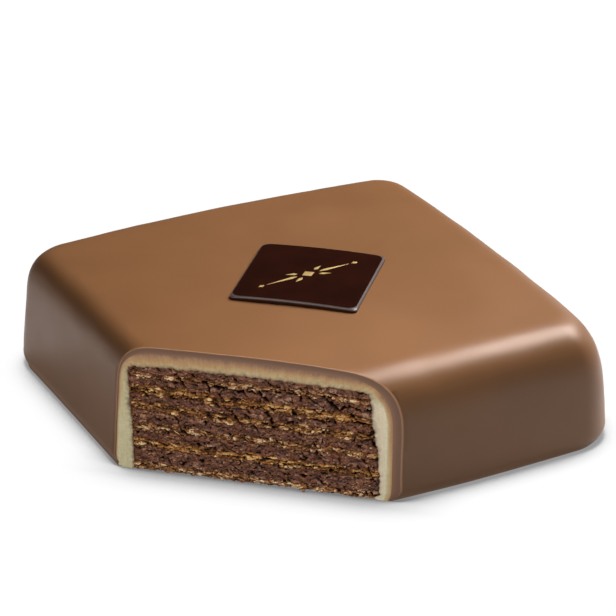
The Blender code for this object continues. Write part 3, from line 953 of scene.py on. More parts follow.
def blurred(table, reach):
    """A table averaged over its neighbours, a number of places each way."""
    size = 2 * reach + 1
    for axis in (0, 1):
        ends = [(reach, reach) if axis == other else (0, 0) for other in (0, 1)]
        total = np.cumsum(np.pad(table, ends, mode="edge"), axis=axis, dtype=float)
        total = np.insert(total, 0, 0.0, axis=axis)
        upper = np.take(total, range(size, total.shape[axis]), axis=axis)
        lower = np.take(total, range(0, total.shape[axis] - size), axis=axis)
        table = (upper - lower) / size
    return table


def crumbled(across, up, size, seed):
    """Crumbs of a width and height in millimetres: how far each stands out, from about -0.5 to
    0.5, the gaps between them, and a random number for each."""
    near, edge, chance, lift = cells_at(across / size[0], up / size[1], seed)
    return lift - 0.5 + 0.3 * (0.45 - near), 1 - soft_step(edge, 0.0, 0.28), chance


# The patches in which wafer and cream alternate: amount, width and height of each wave.
PATCHES = ((0.6, 2.4, 0.8), (0.5, 0.6, 0.35), (0.25, 0.28, 0.22))
PATCH_EDGE = 0.15  # softness of their edges
SPECKS = 0.07  # share of the cream layers that shows wafer
CLEAN_PULL = 1.6  # how strongly the clean places of the table show


def wafer_share(number, across, up, level):
    """How much wafer shows, from 0 to 1, at places on one layer's part of the cut."""
    seed = number * 7.7
    patches = noises_at(across, up, seed + 20, PATCHES)
    name = LAYER_NAMES[number]
    clean, pale = flaked_field(across, up)
    if name in WAFERS:
        patches = patches - 0.9 * np.abs(2 * level - 1) ** 3
        bound = np.quantile(patches, WAFERS[name].covered)
    else:
        beside = np.minimum(level, 1 - level) * HEIGHTS[1] / MM
        patches = patches + 0.5 * np.exp(-beside / 0.5)
        bound = np.quantile(patches, 1 - SPECKS)
    patches = patches + CLEAN_PULL * clean
    return soft_step(patches, bound - PATCH_EDGE, bound + PATCH_EDGE), clean, pale


# Width and height in millimetres of what the relief is made of.
LARGE_CRUMB = (1.7, 1.1)
SMALL_CRUMB = (0.55, 0.42)
WAFER_FLAKE = (1.4, 0.55)
ROLL = (2.6, 1.9)
GRIT = (0.3, 0.28)

# How far each stands out, as a share of the relief: slow rolls, large crumbs and the clefts
# between them, small crumbs or flakes and the cracks between those, grit, and the pits that some
# small ones left.
Relief = namedtuple("Relief", "rolls large clefts small cracks grit pits")
CREAM_RELIEF = Relief(0.5, 1.2, -0.3, 0.45, -0.2, 0.15, -1.2)
WAFER_RELIEF = Relief(0.4, 0.8, -0.25, 0.8, -0.25, 0.2, -1.0)
WAFER_LIFT = 0.14 * MM  # the wafers stand out this much further than the cream
CREAM_PITS, WAFER_PITS = 0.08, 0.10  # share of the small crumbs and of the flakes fallen out

# Tones from 0, nearly black, to 1, palest: the usual one, how far it spreads from one large crumb
# and one small crumb to the next, and what grit and rolls add.
Tone = namedtuple("Tone", "usual large small grit rolls")
CREAM_TONE = Tone(0.5, 0.26, 0.24, 0.05, 0.08)
WAFER_TONE = Tone(0.40, 0.22, 0.24, 0.03, 0.1)
# How much darker the hollows are painted, as shade.
CAVITY_SHADE = 0.17
BOTTOM_CREAM_DARKER = 0.06
BOTTOM_CREAM_SMOOTHER = 0.75


def mingled(amounts, parts):
    """The sum of parts, each in its amount."""
    return sum(amount * part for amount, part in zip(amounts, parts))


def cut_surface(number, across, up, level, sizes):
    """Relief, tone and the share of cream on one layer's part of the cut."""
    seed = number * 11.3
    wafery, clean, pale = wafer_share(number, across, up, level)
    large, clefts, fate = crumbled(across, up, LARGE_CRUMB, seed)
    small, cracks, chance = crumbled(across, up, SMALL_CRUMB, seed + 1)
    flaky, splits, sparks = crumbled(across, up, WAFER_FLAKE, seed + 2)
    rolls = noise_at(across / ROLL[0], up / ROLL[1], seed + 3)
    grit = noise_at(across / GRIT[0], up / GRIT[1], seed + 9)
    shared = rolls, large, clefts
    cream = mingled(CREAM_RELIEF, (*shared, small, cracks, grit, chance < CREAM_PITS))
    wafer = mingled(WAFER_RELIEF, (*shared, flaky, splits, grit, sparks < WAFER_PITS))
    out = sizes.cream_relief * cream * (1 - wafery)
    out += (WAFER_LIFT + sizes.wafer_relief * wafer) * wafery
    # Painted shade: places lower than their neighbours get a darker tone.
    cavity_shade = np.clip((blurred(out, 4) - out) / (0.3 * MM), -0.6, 1.5)
    cavity_shade += np.clip((blurred(out, 11) - out) / (0.4 * MM), -0.6, 1.5)
    look = WAFERS.get(LAYER_NAMES[number])
    paler = look.pale if look else 0.3
    cream_tone = mingled(CREAM_TONE, (1, fate - 0.5, chance - 0.5, grit, rolls))
    cream_tone += 0.2 * (chance > 0.94) + 0.12 * (fate > 0.86)
    wafer_tone = mingled(WAFER_TONE, (1, fate - 0.5, sparks - 0.5, grit, rolls))
    wafer_tone += 0.16 * clean + 0.3 * pale * clean + 0.22 * (sparks > 1 - 0.2 * paler)
    if LAYER_NAMES[number] == "cream_1":
        cream_tone, out = cream_tone - BOTTOM_CREAM_DARKER, BOTTOM_CREAM_SMOOTHER * out
    tone = cream_tone * (1 - wafery) + wafer_tone * wafery - CAVITY_SHADE * cavity_shade
    return out, tone, 1 - wafery


def grid_block(distance, height, out):
    """A closed block whose front is a fine grid of places on the cut."""
    rows, columns = distance.shape
    deselect()
    bpy.ops.mesh.primitive_grid_add(
        x_subdivisions=columns - 1, y_subdivisions=rows - 1, size=1.0)
    obj = bpy.context.object
    places = np.empty((rows, columns, 3), np.float32)
    places[..., 0] = CUT_LEFT.x + ALONG.x * distance + OUTWARD.x * out
    places[..., 1] = CUT_LEFT.y + ALONG.y * distance + OUTWARD.y * out
    places[..., 2] = height
    obj.data.vertices.foreach_set("co", places.ravel())
    obj.data.update()
    bpy.ops.object.mode_set(mode="EDIT")
    bpy.ops.mesh.select_mode(type="EDGE")
    bpy.ops.mesh.select_all(action="DESELECT")
    bpy.ops.mesh.select_non_manifold(
        extend=False, use_wire=False, use_boundary=True, use_multi_face=False,
        use_non_contiguous=False, use_verts=False)
    bpy.ops.mesh.extrude_region_move()
    bm = bmesh.from_edit_mesh(obj.data)
    for vert in bm.verts:
        if vert.select:
            vert.co -= OUTWARD_3D * ((vert.co.xy - CUT_LEFT).dot(OUTWARD) + BLOCK_DEPTH)
    bmesh.update_edit_mesh(obj.data)
    bpy.ops.mesh.edge_face_add()
    bpy.ops.mesh.select_all(action="SELECT")
    bpy.ops.mesh.normals_make_consistent(inside=False)
    bpy.ops.object.mode_set(mode="OBJECT")
    return obj


def backed(front, node):
    """Joins a finely modelled block to a copy of a node's solid, cut off flat behind it."""
    obj = bpy.data.objects.new(node + "_behind", frame["nodes"][node].data.copy())
    bpy.context.scene.collection.objects.link(obj)
    make_active(obj)
    bpy.ops.object.mode_set(mode="EDIT")
    bpy.ops.mesh.select_all(action="SELECT")
    bpy.ops.mesh.remove_doubles(threshold=0.001 * MM)
    plane = CUT_LEFT - OUTWARD * TRIM_DEPTH
    bpy.ops.mesh.bisect(
        plane_co=plane.to_3d(), plane_no=OUTWARD_3D, use_fill=True, clear_outer=True)
    bpy.ops.object.mode_set(mode="OBJECT")
    make_active(front)
    obj.select_set(True)
    bpy.ops.object.join()
    return front


def layer_grid(number):
    """Distances and heights of the points on one layer's part of the cut."""
    floor, ceiling = HEIGHTS[number], HEIGHTS[number + 1]
    start, end = stack_ends((floor + ceiling) / 2)
    columns = round((end - start) / POINT_SPACING)
    rows = max(round((ceiling - floor) / POINT_SPACING), 4)
    across = np.linspace(start - TUCK_UNDER, end + TUCK_UNDER, columns + 1)
    low = edge_line(number, across)
    high = np.maximum(edge_line(number + 1, across), low + 0.25 * MM)
    if number + 1 == len(LAYER_NAMES):
        high = high + 0.5 * MM
    level = np.linspace(0, 1, rows + 1)[:, None]
    return np.broadcast_to(across, (rows + 1, columns + 1)), low + (high - low) * level, level


# The darkening near the layers' ends and top is painted shade where they meet the marzipan.
EDGE_SHADE = 0.8 * MM  # the layers are rounded and darker this near to their ends
UNDER_MARZIPAN = 0.3 * MM  # and drop back within this beyond them, under the marzipan
FURTHEST_OUT = 0.4 * MM
FURTHEST_IN = -1.9 * MM


def layer_piece(number, tears, sizes, material):
    """One layer of the stack, torn where the cut shows it."""
    name = LAYER_NAMES[number]
    distance, height, level = layer_grid(number)
    across, up = distance / MM, height / MM
    out, tone, smear = cut_surface(number, across, up, level, sizes)
    tear = tear_field(across, up, tears)
    out = out - sizes.tear_depth * tear
    ends = [stack_ends(value) for value in height[:, 0]]
    starts, stops = (np.array(side)[:, None] for side in zip(*ends))
    to_top = edge_line(len(LAYER_NAMES), distance[0]) - height
    to_ends = np.minimum(distance - starts, stops - distance)
    shaded = np.maximum(
        1 - np.clip(to_ends / EDGE_SHADE, 0, 1), 0.45 * (1 - np.clip(to_top / EDGE_SHADE, 0, 1)))
    under = np.clip(-np.minimum(to_ends, to_top) / UNDER_MARZIPAN, 0, 1)
    out = np.minimum(out, FURTHEST_OUT) * (1 - under)
    out -= 0.25 * MM * shaded**2 + 0.6 * MM * under
    obj = backed(grid_block(distance, height, np.maximum(out, FURTHEST_IN)), name)
    # The tear attribute paints shade in the tears and, through shaded, near the stack's ends and
    # top.
    set_attributes(
        obj, tone=tone, smear=smear,
        tear=np.clip(np.maximum(tear * 1.6, 0.45 * shaded**2), 0, 1),
        golden=np.full(distance.size, WAFERS[name].golden if name in WAFERS else OTHER_GOLDEN))
    return finished(obj, name + "_layer", material, (name,), smooth_below=55)


# Loose bits on the cut.

FLAKE_SEED = 5
CRUMB_SEED = 8
FLAKE_SIDES = 6
FLAKE_LENGTH = 0.62 * MM
CRUMB_SIZE = 0.36 * MM
BIT_SPREAD = 0.35  # of the bits' sizes
STRAWS = 0.25  # share of the pale flakes that are long and thin
IN_CREAM = 0.85  # share of the crumbs that are cream or rolled in it
SPOT_MARGIN = 0.6 * MM
FALLEN = Vector((48.4, 0.75, 0.4)) * MM  # the crumb on the table: along the cut, out and up
FALLEN_SIZE = 0.9 * MM


def turned_onto_cut(draw, tilt):
    """A turn from a flake's own axes (long, thick, wide) to the cut, tilted by chance."""
    turn = Matrix((ALONG.to_3d(), OUTWARD_3D, Vector((0, 0, 1)))).transposed()
    for spread, axis in ((tilt, "X"), (tilt, "Z"), (0.35, "Y")):
        turn = turn @ Matrix.Rotation(draw.gauss(0, spread), 3, axis)
    return turn


def flake(draw, length, width, thickness=0.13 * MM):
    """Points and faces of one thin, broken-edged flake, with its thickness along Y."""
    count = FLAKE_SIDES
    ring = []
    for corner in range(count):
        angle = 2 * math.pi * (corner + draw.uniform(-0.3, 0.3)) / count
        reach = draw.uniform(0.65, 1.1)
        ring.append((reach * math.cos(angle) * length / 2, reach * math.sin(angle) * width / 2))
    points = []
    for side in (-0.5, 0.5):
        for x, z in ring:
            points.append(Vector((x, (side + draw.uniform(-0.2, 0.2)) * thickness, z)))
    faces = [tuple(range(count - 1, -1, -1)), tuple(range(count, 2 * count))]
    for corner in range(count):
        after = (corner + 1) % count
        faces.append((corner, after, count + after, count + corner))
    return points, faces


def lump(draw, size):
    """Points and faces of one small, uneven crumb."""
    golden = (1 + math.sqrt(5)) / 2
    bm = bmesh.new()
    for a, b in ((-1, golden), (1, golden), (-1, -golden), (1, -golden)):
        for corner in ((a, b, 0), (0, a, b), (b, 0, a)):
            bm.verts.new(Vector(corner).normalized() * size / 2 * draw.uniform(0.7, 1.15))
    bmesh.ops.convex_hull(bm, input=bm.verts)
    bm.verts.index_update()
    faces = [tuple(vert.index for vert in face.verts) for face in bm.faces]
    points = [vert.co.copy() for vert in bm.verts]
    bm.free()
    return points, faces


def scatter(name, bits, material):
    """One piece from many bits, each with its points, faces, tone and smear."""
    bm = bmesh.new()
    tones, smears = [], []
    for points, faces, tone, smear in bits:
        verts = [bm.verts.new(point) for point in points]
        for face in faces:
            bm.faces.new([verts[index] for index in face])
        tones += [tone] * len(points)
        smears += [smear] * len(points)
    obj = object_from(bm)
    set_attributes(obj, tone=tones, smear=smears, golden=[OTHER_GOLDEN] * len(tones))
    return finished(obj, name, material)


def edge_tables():
    """Heights of all edges between layers, for looking up at a distance along the cut."""
    places = np.linspace(*stack_ends(0.0), 400)
    return places, [edge_line(number, places) for number in range(len(HEIGHTS))]


def spot_in(draw, lines, number, tears):
    """A place on one layer's part of the cut, drawn by chance, off the tears."""
    start, end = stack_ends(HEIGHTS[number + 1])
    places, tables = lines
    while True:
        distance = draw.uniform(start + SPOT_MARGIN, end - SPOT_MARGIN)
        low, high = (
            float(np.interp(distance, places, table)) for table in tables[number : number + 2])
        height = draw.uniform(low, high)
        spot = np.array([distance / MM]), np.array([height / MM])
        if tear_field(*spot, tears)[0] < 0.15:
            return distance, height


def wafer_flakes(sizes, tears, material):
    """Flakes broken from the wafers, most of them lying in their own layer."""
    draw = random.Random(FLAKE_SEED)
    lines = edge_tables()
    names = list(WAFERS)
    weights = [1.2 - WAFERS[name].covered for name in names]
    bits = []
    for _ in range(sizes.flakes):
        name = draw.choices(names, weights)[0]
        distance, height = spot_in(draw, lines, LAYER_NAMES.index(name), tears)
        pale = draw.random() < WAFERS[name].pale
        if pale and draw.random() < STRAWS:
            points, faces = flake(draw, draw.uniform(0.8, 2.0) * MM, 0.25 * MM)
            tone = draw.uniform(0.65, 0.9)
        else:
            length = draw.lognormvariate(0, BIT_SPREAD) * FLAKE_LENGTH
            points, faces = flake(draw, length, length * draw.uniform(0.4, 0.8))
            tone = draw.uniform(0.6, 0.9) if pale else draw.uniform(0.25, 0.65)
        turn = turned_onto_cut(draw, 0.5)
        place = from_cut(distance, max(height, 0.45 * MM), draw.uniform(0.02, 0.26) * MM)
        bits.append(([turn @ point + place for point in points], faces, tone, 0.0))
    return scatter("wafer_flakes", bits, material)


def cream_crumbs(sizes, tears, material):
    """Crumbs of cream, and of wafer rolled in cream, on the whole cut, and one that fell off."""
    draw = random.Random(CRUMB_SEED)
    lines = edge_tables()
    bits = []
    for _ in range(sizes.crumbs):
        number = draw.randrange(len(LAYER_NAMES))
        distance, height = spot_in(draw, lines, number, tears)
        points, faces = lump(draw, draw.lognormvariate(0, BIT_SPREAD) * CRUMB_SIZE)
        turn = turned_onto_cut(draw, 1.0)
        place = from_cut(distance, max(height, 0.4 * MM), draw.uniform(-0.05, 0.2) * MM)
        turn = turn @ Matrix.Diagonal((draw.uniform(0.9, 1.7), 1.0, draw.uniform(0.6, 1.0)))
        points = [turn @ point + place for point in points]
        bits.append((points, faces, draw.uniform(0.25, 0.7), float(draw.random() < IN_CREAM)))
    points, faces = lump(draw, FALLEN_SIZE)
    place = from_cut(FALLEN.x, FALLEN.z, FALLEN.y)
    bits.append(([point + place for point in points], faces, 0.6, 0.0))
    return scatter("cream_crumbs", bits, material)


# The marzipan's band on the cut.

BAND_ROWS = 26
BAND_COLUMNS = 620
BAND_RAGS = ((0.3, 1.8, 1.8), (0.2, 0.6, 0.6))  # its ragged edge: amount, width and height
BAND_EDGE = 0.9  # the band rounds off this near to the stack, in millimetres
BAND_EDGE_DEPTH = 0.4
MARZIPAN_CORNER = 1.8 * MM
FOOT_IN = 1.5 * MM  # the jacket's foot turns in under the stack's right end


def stack_outline():
    """The stack's outline on the cut, from the left foot up and over to the right foot."""
    top = len(LAYER_NAMES)
    radius = MARZIPAN_CORNER
    high_left, high_right = stack_ends(HEIGHTS[-1])
    left_top, right_top = edge_line(top, np.array([high_left, high_right]))
    turns = [
        (radius * (1 - math.cos(angle)), radius * (1 - math.sin(angle)))
        for angle in np.linspace(0, math.pi / 2, 8)[1:-1]
    ]
    line = [(stack_ends(height)[0], height) for height in np.linspace(0, left_top - radius, 60)]
    line += [(high_left + along, left_top - down) for along, down in turns]
    across = np.linspace(high_left + radius, high_right - radius, 160)
    line += list(zip(across, edge_line(top, across)))
    line += [(high_right - along, right_top - down) for along, down in turns[::-1]]
    for height in np.linspace(right_top - radius, 0, 60):
        turned_in = FOOT_IN * float(1 - soft_step(np.array(height), 0.3 * MM, 1.3 * MM))
        line.append((stack_ends(height)[1] - turned_in, height))
    return [Vector((distance, height, 0.0)) for distance, height in line]


# How thick the knife drew the coat's chocolate over the marzipan, from 0 to 1: above the stack by
# the distance in millimetres from it, and at each side by that from the coat.
SMEAR_REACH = (0.0, 1.4, 1.9, 2.5, 3.1, 3.7, 4.2)
SMEAR_TOP_LEFT = (0.28, 0.36, 0.46, 0.55, 0.69, 0.82, 1.0)
SMEAR_TOP_MIDDLE = (0.26, 0.29, 0.37, 0.5, 0.73, 0.9, 1.0)
SMEAR_LEFT = ((0.0, 0.4), (0.5, 0.15))
SMEAR_RIGHT = ((0.2, 0.7, 1.1, 1.6), (0.75, 0.5, 0.32, 0.0))


def chocolate_smear(distance, height, from_stack, to_coat):
    """The chocolate over the marzipan: deep above the stack, thin at its sides."""
    ragged = 0.05 * noise_at(distance / MM / 2.5, height / MM / 1.5, 8.0)
    top_left = np.interp(from_stack, SMEAR_REACH, SMEAR_TOP_LEFT)
    top_middle = np.interp(from_stack, SMEAR_REACH, SMEAR_TOP_MIDDLE)
    to_middle = soft_step(distance, 18 * MM, 34 * MM)
    top = top_left + (top_middle - top_left) * to_middle + ragged
    left = np.interp(to_coat, *SMEAR_LEFT)
    left = left + 0.5 * soft_step(height, 12 * MM, 22 * MM) * np.exp(-to_coat / 0.6)
    right = np.interp(to_coat + ragged, *SMEAR_RIGHT)
    right = right * (0.62 + 0.5 * soft_step(height, 4 * MM, 24 * MM))
    to_right = soft_step(distance, 30 * MM, 40 * MM)
    to_top = soft_step(height, 25 * MM, 29.5 * MM)
    beside = right * to_right + left * (1 - to_right)
    return np.clip(top * to_top + beside * (1 - to_top), 0, 1)


def crumb_dust_and_shade(distance, height, from_stack):
    """How much crumb and painted shade lies on the marzipan: a patchy fringe of the stack, wider
    high up.
    """
    high = soft_step(height, 8 * MM, 20 * MM)
    patchy = np.clip(noise_at(distance / MM / 0.9, height / MM / 0.9, 9.0), -1, 1)
    reach = (0.4 + 0.3 * high) * (1 + 0.7 * patchy)
    fringe = 0.75 * np.exp(-((from_stack / reach) ** 1.3))
    return fringe + (0.04 + 0.12 * high) * np.exp(-from_stack / 1.3)


def marzipan_piece(material):
    """The jacket: its band on the cut, finely modelled, and the plain solid behind it."""
    shares = np.linspace(0, 1, BAND_COLUMNS + 1)
    outer_line = [
        Vector(((spot.xy - CUT_LEFT).dot(ALONG), spot.z, 0.0)) for spot in inner_cut_line()
    ]
    inner, outer = (
        np.array([tuple(point) for point in resampled(line, shares)])
        for line in (stack_outline(), outer_line))
    ragged = MM * noises_at(inner[:, 0] / MM, inner[:, 1] / MM, 4.0, BAND_RAGS)
    toward_coat = outer - inner
    toward_coat /= np.linalg.norm(toward_coat, axis=1)[:, None]
    inner = inner - toward_coat * ragged[:, None]
    level = np.linspace(0, 1, BAND_ROWS + 1)[:, None] ** 0.85
    distance = inner[:, 0] + (outer - inner)[:, 0] * level
    height = np.maximum(inner[:, 1] + (outer - inner)[:, 1] * level, 0.02 * MM)
    across, up = distance / MM, height / MM
    width = np.linalg.norm(outer - inner, axis=1) / MM
    from_stack, to_coat = level * width, (1 - level) * width
    out = 0.05 * noise_at(across / 2.4, up / 2.4, 2.0)
    out += 0.03 * noise_at(across / 0.5, up / 0.8, 6.0)
    near_stack = 1 - np.clip(from_stack / BAND_EDGE, 0, 1)
    rounding = BAND_EDGE_DEPTH * (1 - np.sqrt(1 - near_stack**2 * 0.999))
    out = (out * np.clip(to_coat / 0.5, 0, 1) - rounding) * MM
    obj = backed(grid_block(distance, height, out), "marzipan_jacket")
    set_attributes(
        obj, smear=chocolate_smear(distance, height, from_stack, to_coat),
        crumbed=crumb_dust_and_shade(distance, height, from_stack))
    return finished(obj, "marzipan", material, ("marzipan_jacket",), smooth_below=60)


# The coat.

SECTION_ROWS = 7
RIM_ROWS = 5
LONG_WAVE = 13 * MM
SHORT_WAVE = 5 * MM
STEADY_BELOW = 8 * MM  # the waves die out from here down to the foot


def poured_skin(sizes):
    """The coat's outside with its slow waves, trimmed where the rim along the cut starts."""
    bm = skin([0.0] * len(SIDES), 0.0)
    bm.normal_update()
    for vert in bm.verts:
        slow = noise.noise(vert.co / LONG_WAVE) + 0.35 * noise.noise(vert.co / SHORT_WAVE)
        steady = min(vert.co.z / STEADY_BELOW, 1.0)
        vert.co += vert.normal * sizes.ripple * (slow / NOISE_REACH - 0.8) * steady
    bm.normal_update()
    trim(bm, sizes.rim)
    bm.normal_update()
    return bm


def added_to(bm, part):
    """Puts one bmesh's geometry into another and gives its vertices there."""
    mesh = bpy.data.meshes.new("part")
    part.to_mesh(mesh)
    part.free()
    known = set(bm.verts)
    bm.from_mesh(mesh)
    bpy.data.meshes.remove(mesh)
    return {vert for vert in bm.verts if vert not in known}


def coat_piece(sizes, material):
    """The poured coat: its satin outside and the inside that lies on the marzipan."""
    bm = poured_skin(sizes)
    edge, base = open_chains(bm, sizes.rim)
    inside = lining()
    trim(inside, sizes.rim)
    inner_edge, inner_base = open_chains(bm, sizes.rim, added_to(bm, inside))
    zip_chains(bm, edge, inner_edge)
    zip_chains(bm, base, inner_base)
    return finished(
        object_from(bm), "milk_chocolate_coat", material, ("chocolate_coat",),
        smooth_below=50)


def cut_edge_piece(sizes, material):
    """The coat's edge at the cut: its rounded rim and its dull section."""
    outside = poured_skin(sizes)
    edge = [(vert.co.copy(), vert.normal.copy()) for vert in open_chains(outside, sizes.rim)[0]]
    outside.free()
    behind = -OUTWARD_3D * sizes.rim
    starts, corners, ends = [], [], []
    for place, normal in edge:
        slope = OUTWARD_3D - normal * OUTWARD_3D.dot(normal)
        inward = -(normal - OUTWARD_3D * normal.dot(OUTWARD_3D)).normalized()
        corner = place + slope * (sizes.rim / slope.dot(OUTWARD_3D))
        starts.append(place)
        corners.append(corner)
        ends.append(corner + inward * sizes.rim)
    inside = resampled(inner_cut_line(), shares_of(ends))
    rows = []
    for step in range(RIM_ROWS + 1):
        t = step / RIM_ROWS
        points = [
            start * (1 - t) ** 2 + corner * 2 * t * (1 - t) + end * t**2
            for start, corner, end in zip(starts, corners, ends)
        ]
        rows.append((points, 0.5 * t**2))
    for step in range(1, SECTION_ROWS + 1):
        t = step / SECTION_ROWS
        rows.append(([end.lerp(goal, t) for end, goal in zip(ends, inside)], 0.5 + 0.5 * t**2))
    rows.append(([goal + behind for goal in inside], 1.0))
    bm = bmesh.new()
    section = bm.verts.layers.float.new("section")
    loops = []
    for points, value in rows:
        loop = [bm.verts.new((point.x, point.y, max(point.z, 0.0))) for point in points]
        for vert in loop:
            vert[section] = value
        loops.append(loop)
    bridge(bm, loops + loops[:1], ring=False)
    bmesh.ops.holes_fill(bm, edges=[edge for edge in bm.edges if edge.is_boundary], sides=0)
    return finished(
        object_from(bm), "milk_chocolate_cut_edge", material, smooth_below=50)


# The plaque.

PLAQUE_FOOT_CORNER = 1.1 * MM
PLAQUE_CORNER = 2.8 * MM
PLAQUE_EDGE_ROWS = 8
PLAQUE_CORNER_STEPS = 10
PLAQUE_SIDE_STEPS = 12
PLAQUE_ARCH = 0.45 * MM  # the middles of the edges along the cut stand up this much
PLAQUE_SUNK = 0.1 * MM  # it is pressed into the coat this much
PLAQUE_TOP_RINGS = (0.9, 0.75, 0.55, 0.3, 0.1)
# Share of painted highlight and of extra roughness on the plaque's upper edge.
EDGE_HIGHLIGHT_SHARE = 0.8
PLAQUE_THINNER = 0.9 * MM
PLAQUE_WIDER = 0.7 * MM
PLAQUE_SHIFT = Vector((0.4, 1.6, 0.0)) * MM


def plaque_frame():
    """The plaque's middle, half side, turn and lower and upper heights: its node's, fitted more
    closely to how thin and wide it looks."""
    low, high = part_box("plaque")
    middle = (low + high) / 2
    places = [vert.co.xy - middle.xy for vert in frame["nodes"]["plaque"].data.vertices]

    def reach(degrees):
        turn = Matrix.Rotation(-math.radians(degrees), 2)
        return max((turn @ place).x for place in places)

    turned = min(range(90), key=reach)
    half = reach(turned) + PLAQUE_WIDER
    return middle + PLAQUE_SHIFT, half, math.radians(turned), low.z, high.z - PLAQUE_THINNER


def rounded_square(half, radius):
    """One turn round a square with rounded corners."""
    centre = half - radius
    line = []
    for quarter in range(4):
        turn = Matrix.Rotation(math.radians(90 * quarter), 2)
        for step in range(PLAQUE_CORNER_STEPS + 1):
            angle = math.pi / 2 * step / PLAQUE_CORNER_STEPS
            corner = Vector((math.cos(angle), math.sin(angle))) * radius
            line.append(turn @ (Vector((centre, centre)) + corner))
        for step in range(1, PLAQUE_SIDE_STEPS):
            line.append(turn @ Vector((centre - 2 * centre * step / PLAQUE_SIDE_STEPS, half)))
    return line


def plaque_lift(place, half):
    """How much the plaque's slight arch lifts a place, seen from its middle."""
    along = place.dot(ALONG) / half
    return PLAQUE_ARCH * (0.5 - along**2) - PLAQUE_SUNK


def plaque_piece(sizes, material):
    """The thin plaque: straight sides, a soft upper edge and a barely arched top."""
    middle, half, turned, low, high = plaque_frame()
    turn = Matrix.Rotation(turned, 2)
    soft = sizes.plaque_bevel
    levels = [(0.0, low - 0.5 * MM), (0.0, (low + high - soft) / 2)]
    for step in range(PLAQUE_EDGE_ROWS + 1):
        angle = math.pi / 2 * step / PLAQUE_EDGE_ROWS
        levels.append((1 - math.cos(angle), high - soft * (1 - math.sin(angle))))
    rings = []
    for share, height in levels:
        radius = PLAQUE_FOOT_CORNER + (PLAQUE_CORNER - PLAQUE_FOOT_CORNER) * share
        ring = rounded_square(half - soft * share, radius)
        rings.append([(turn @ place, height) for place in ring])
    rings += [[(place * share, high) for place, _ in rings[-1]] for share in PLAQUE_TOP_RINGS]
    bm = bmesh.new()
    scuffed = bm.verts.layers.float.new("scuffed")
    loops = []
    for number, ring in enumerate(rings):
        loop = []
        for place, height in ring:
            lift = plaque_lift(place, half)
            vert = bm.verts.new((middle.x + place.x, middle.y + place.y, height + lift))
            # The upper edge is marked for a painted highlight and more roughness.
            vert[scuffed] = EDGE_HIGHLIGHT_SHARE * (3 <= number <= PLAQUE_EDGE_ROWS)
            loop.append(vert)
        loops.append(loop)
    bridge(bm, loops)
    bm.faces.new(loops[0][::-1])
    bm.faces.new(loops[-1])
    return finished(
        object_from(bm), "chocolate_plaque", material, ("plaque",),
        smooth_below=50)


# A plain ornament across the plaque: a lozenge with petals and a tapering stroke on each side.
# Each is a kite, widest at its place (along the ornament and across it) and pointed both ways, in
# millimetres and degrees for an ornament of ORNAMENT_LENGTH.
ORNAMENT_LENGTH = 29.0 * MM
ORNAMENT_RISE = 0.12 * MM
ORNAMENT_LEVELS = ((1.0, -1.0), (1.0, 0.6), (0.5, 1.0))  # each: share of the width and of the rise
Kite = namedtuple("Kite", "along across ahead behind width turn")
LOZENGE = Kite(0.0, 0.0, 1.8, 1.8, 3.0, 0)
RIGHT_HALF = (
    Kite(3.2, 1.6, 2.2, 0.9, 1.1, 24),
    Kite(3.2, -1.6, 2.2, 0.9, 1.1, -24),
    Kite(4.8, 0.0, 7.4, 1.6, 1.0, 0),
    Kite(13.6, 0.0, 0.9, 0.9, 1.2, 0),
)


def ornament_piece(sizes, material):
    """The gilt ornament on the plaque, the same on its left and its right."""
    middle, half, turned, _, high = plaque_frame()
    scale = sizes.ornament / ORNAMENT_LENGTH * MM
    bm = bmesh.new()

    def add_kite(kite, side):
        turn = Matrix.Rotation(turned - math.pi / 4 + (math.pi if side < 0 else 0), 2)
        own = Matrix.Rotation(math.radians(kite.turn), 2)
        wide = kite.width / 2
        tips = [Vector(tip) for tip in ((kite.ahead, 0), (0, wide), (-kite.behind, 0), (0, -wide))]
        loops = []
        for share, rise in ORNAMENT_LEVELS:
            loop = []
            for tip in tips:
                place = turn @ (own @ (tip * share) + Vector((kite.along, kite.across))) * scale
                height = high + plaque_lift(place, half) + rise * ORNAMENT_RISE
                loop.append(bm.verts.new((middle.x + place.x, middle.y + place.y, height)))
            loops.append(loop)
        bridge(bm, loops)
        bm.faces.new(loops[0][::-1])
        bm.faces.new(loops[-1])

    add_kite(LOZENGE, 1)
    for side in (1, -1):
        for kite in RIGHT_HALF:
            add_kite(kite, side)
    return finished(object_from(bm), "gilt_ornament", material)


# The stage.

# The soft lights: angle from +X and above the table, distance and size in metres, watts, colour,
# whether they show in gloss and in matt surfaces, and what they face.
Light = namedtuple(
    "Light", "azimuth elevation distance width height power colour glossy diffuse target",
    defaults=((1.0, 1.0, 1.0), True, True, (0.0, 0.0, 0.0)))
LIGHTS = {
    "key": Light(9, 51, 0.65, 0.42, 0.42, 5.3, glossy=False),
    "above_cut": Light(
        0, 90, 0.1, 0.05, 0.05, 0.018, glossy=False, target=(-0.018, -0.058, 0.0)),
    "sheen": Light(-3, 50, 0.55, 0.36, 0.36, 4.6, colour=(1.0, 0.99, 0.97), diffuse=False),
    "fill": Light(195, 30, 0.9, 0.5, 0.5, 0.8, glossy=False),
    "front_fill": Light(-95, 8, 0.9, 0.5, 0.3, 0.24, colour=(0.84, 0.96, 1.0)),
    "side_sweep": Light(22, 12, 0.8, 0.7, 0.3, 0.55),
    "plaque_card": Light(-150, 46, 0.8, 0.25, 0.35, 1.8),
    "cut_card": Light(-124, 48, 0.6, 0.2, 0.2, 2.1),
}
ROOM_LIGHT = 0.025
TABLE_SIDE = 6.0
PICTURE_SIDE = 616  # pixels
FOCAL_PIXELS = 2875.5  # focal length that fits the photographed outline
SENSOR = 36.0  # millimetres
CAMERA_AZIMUTH = math.radians(-26.68)
CAMERA_ELEVATION = math.radians(25.97)
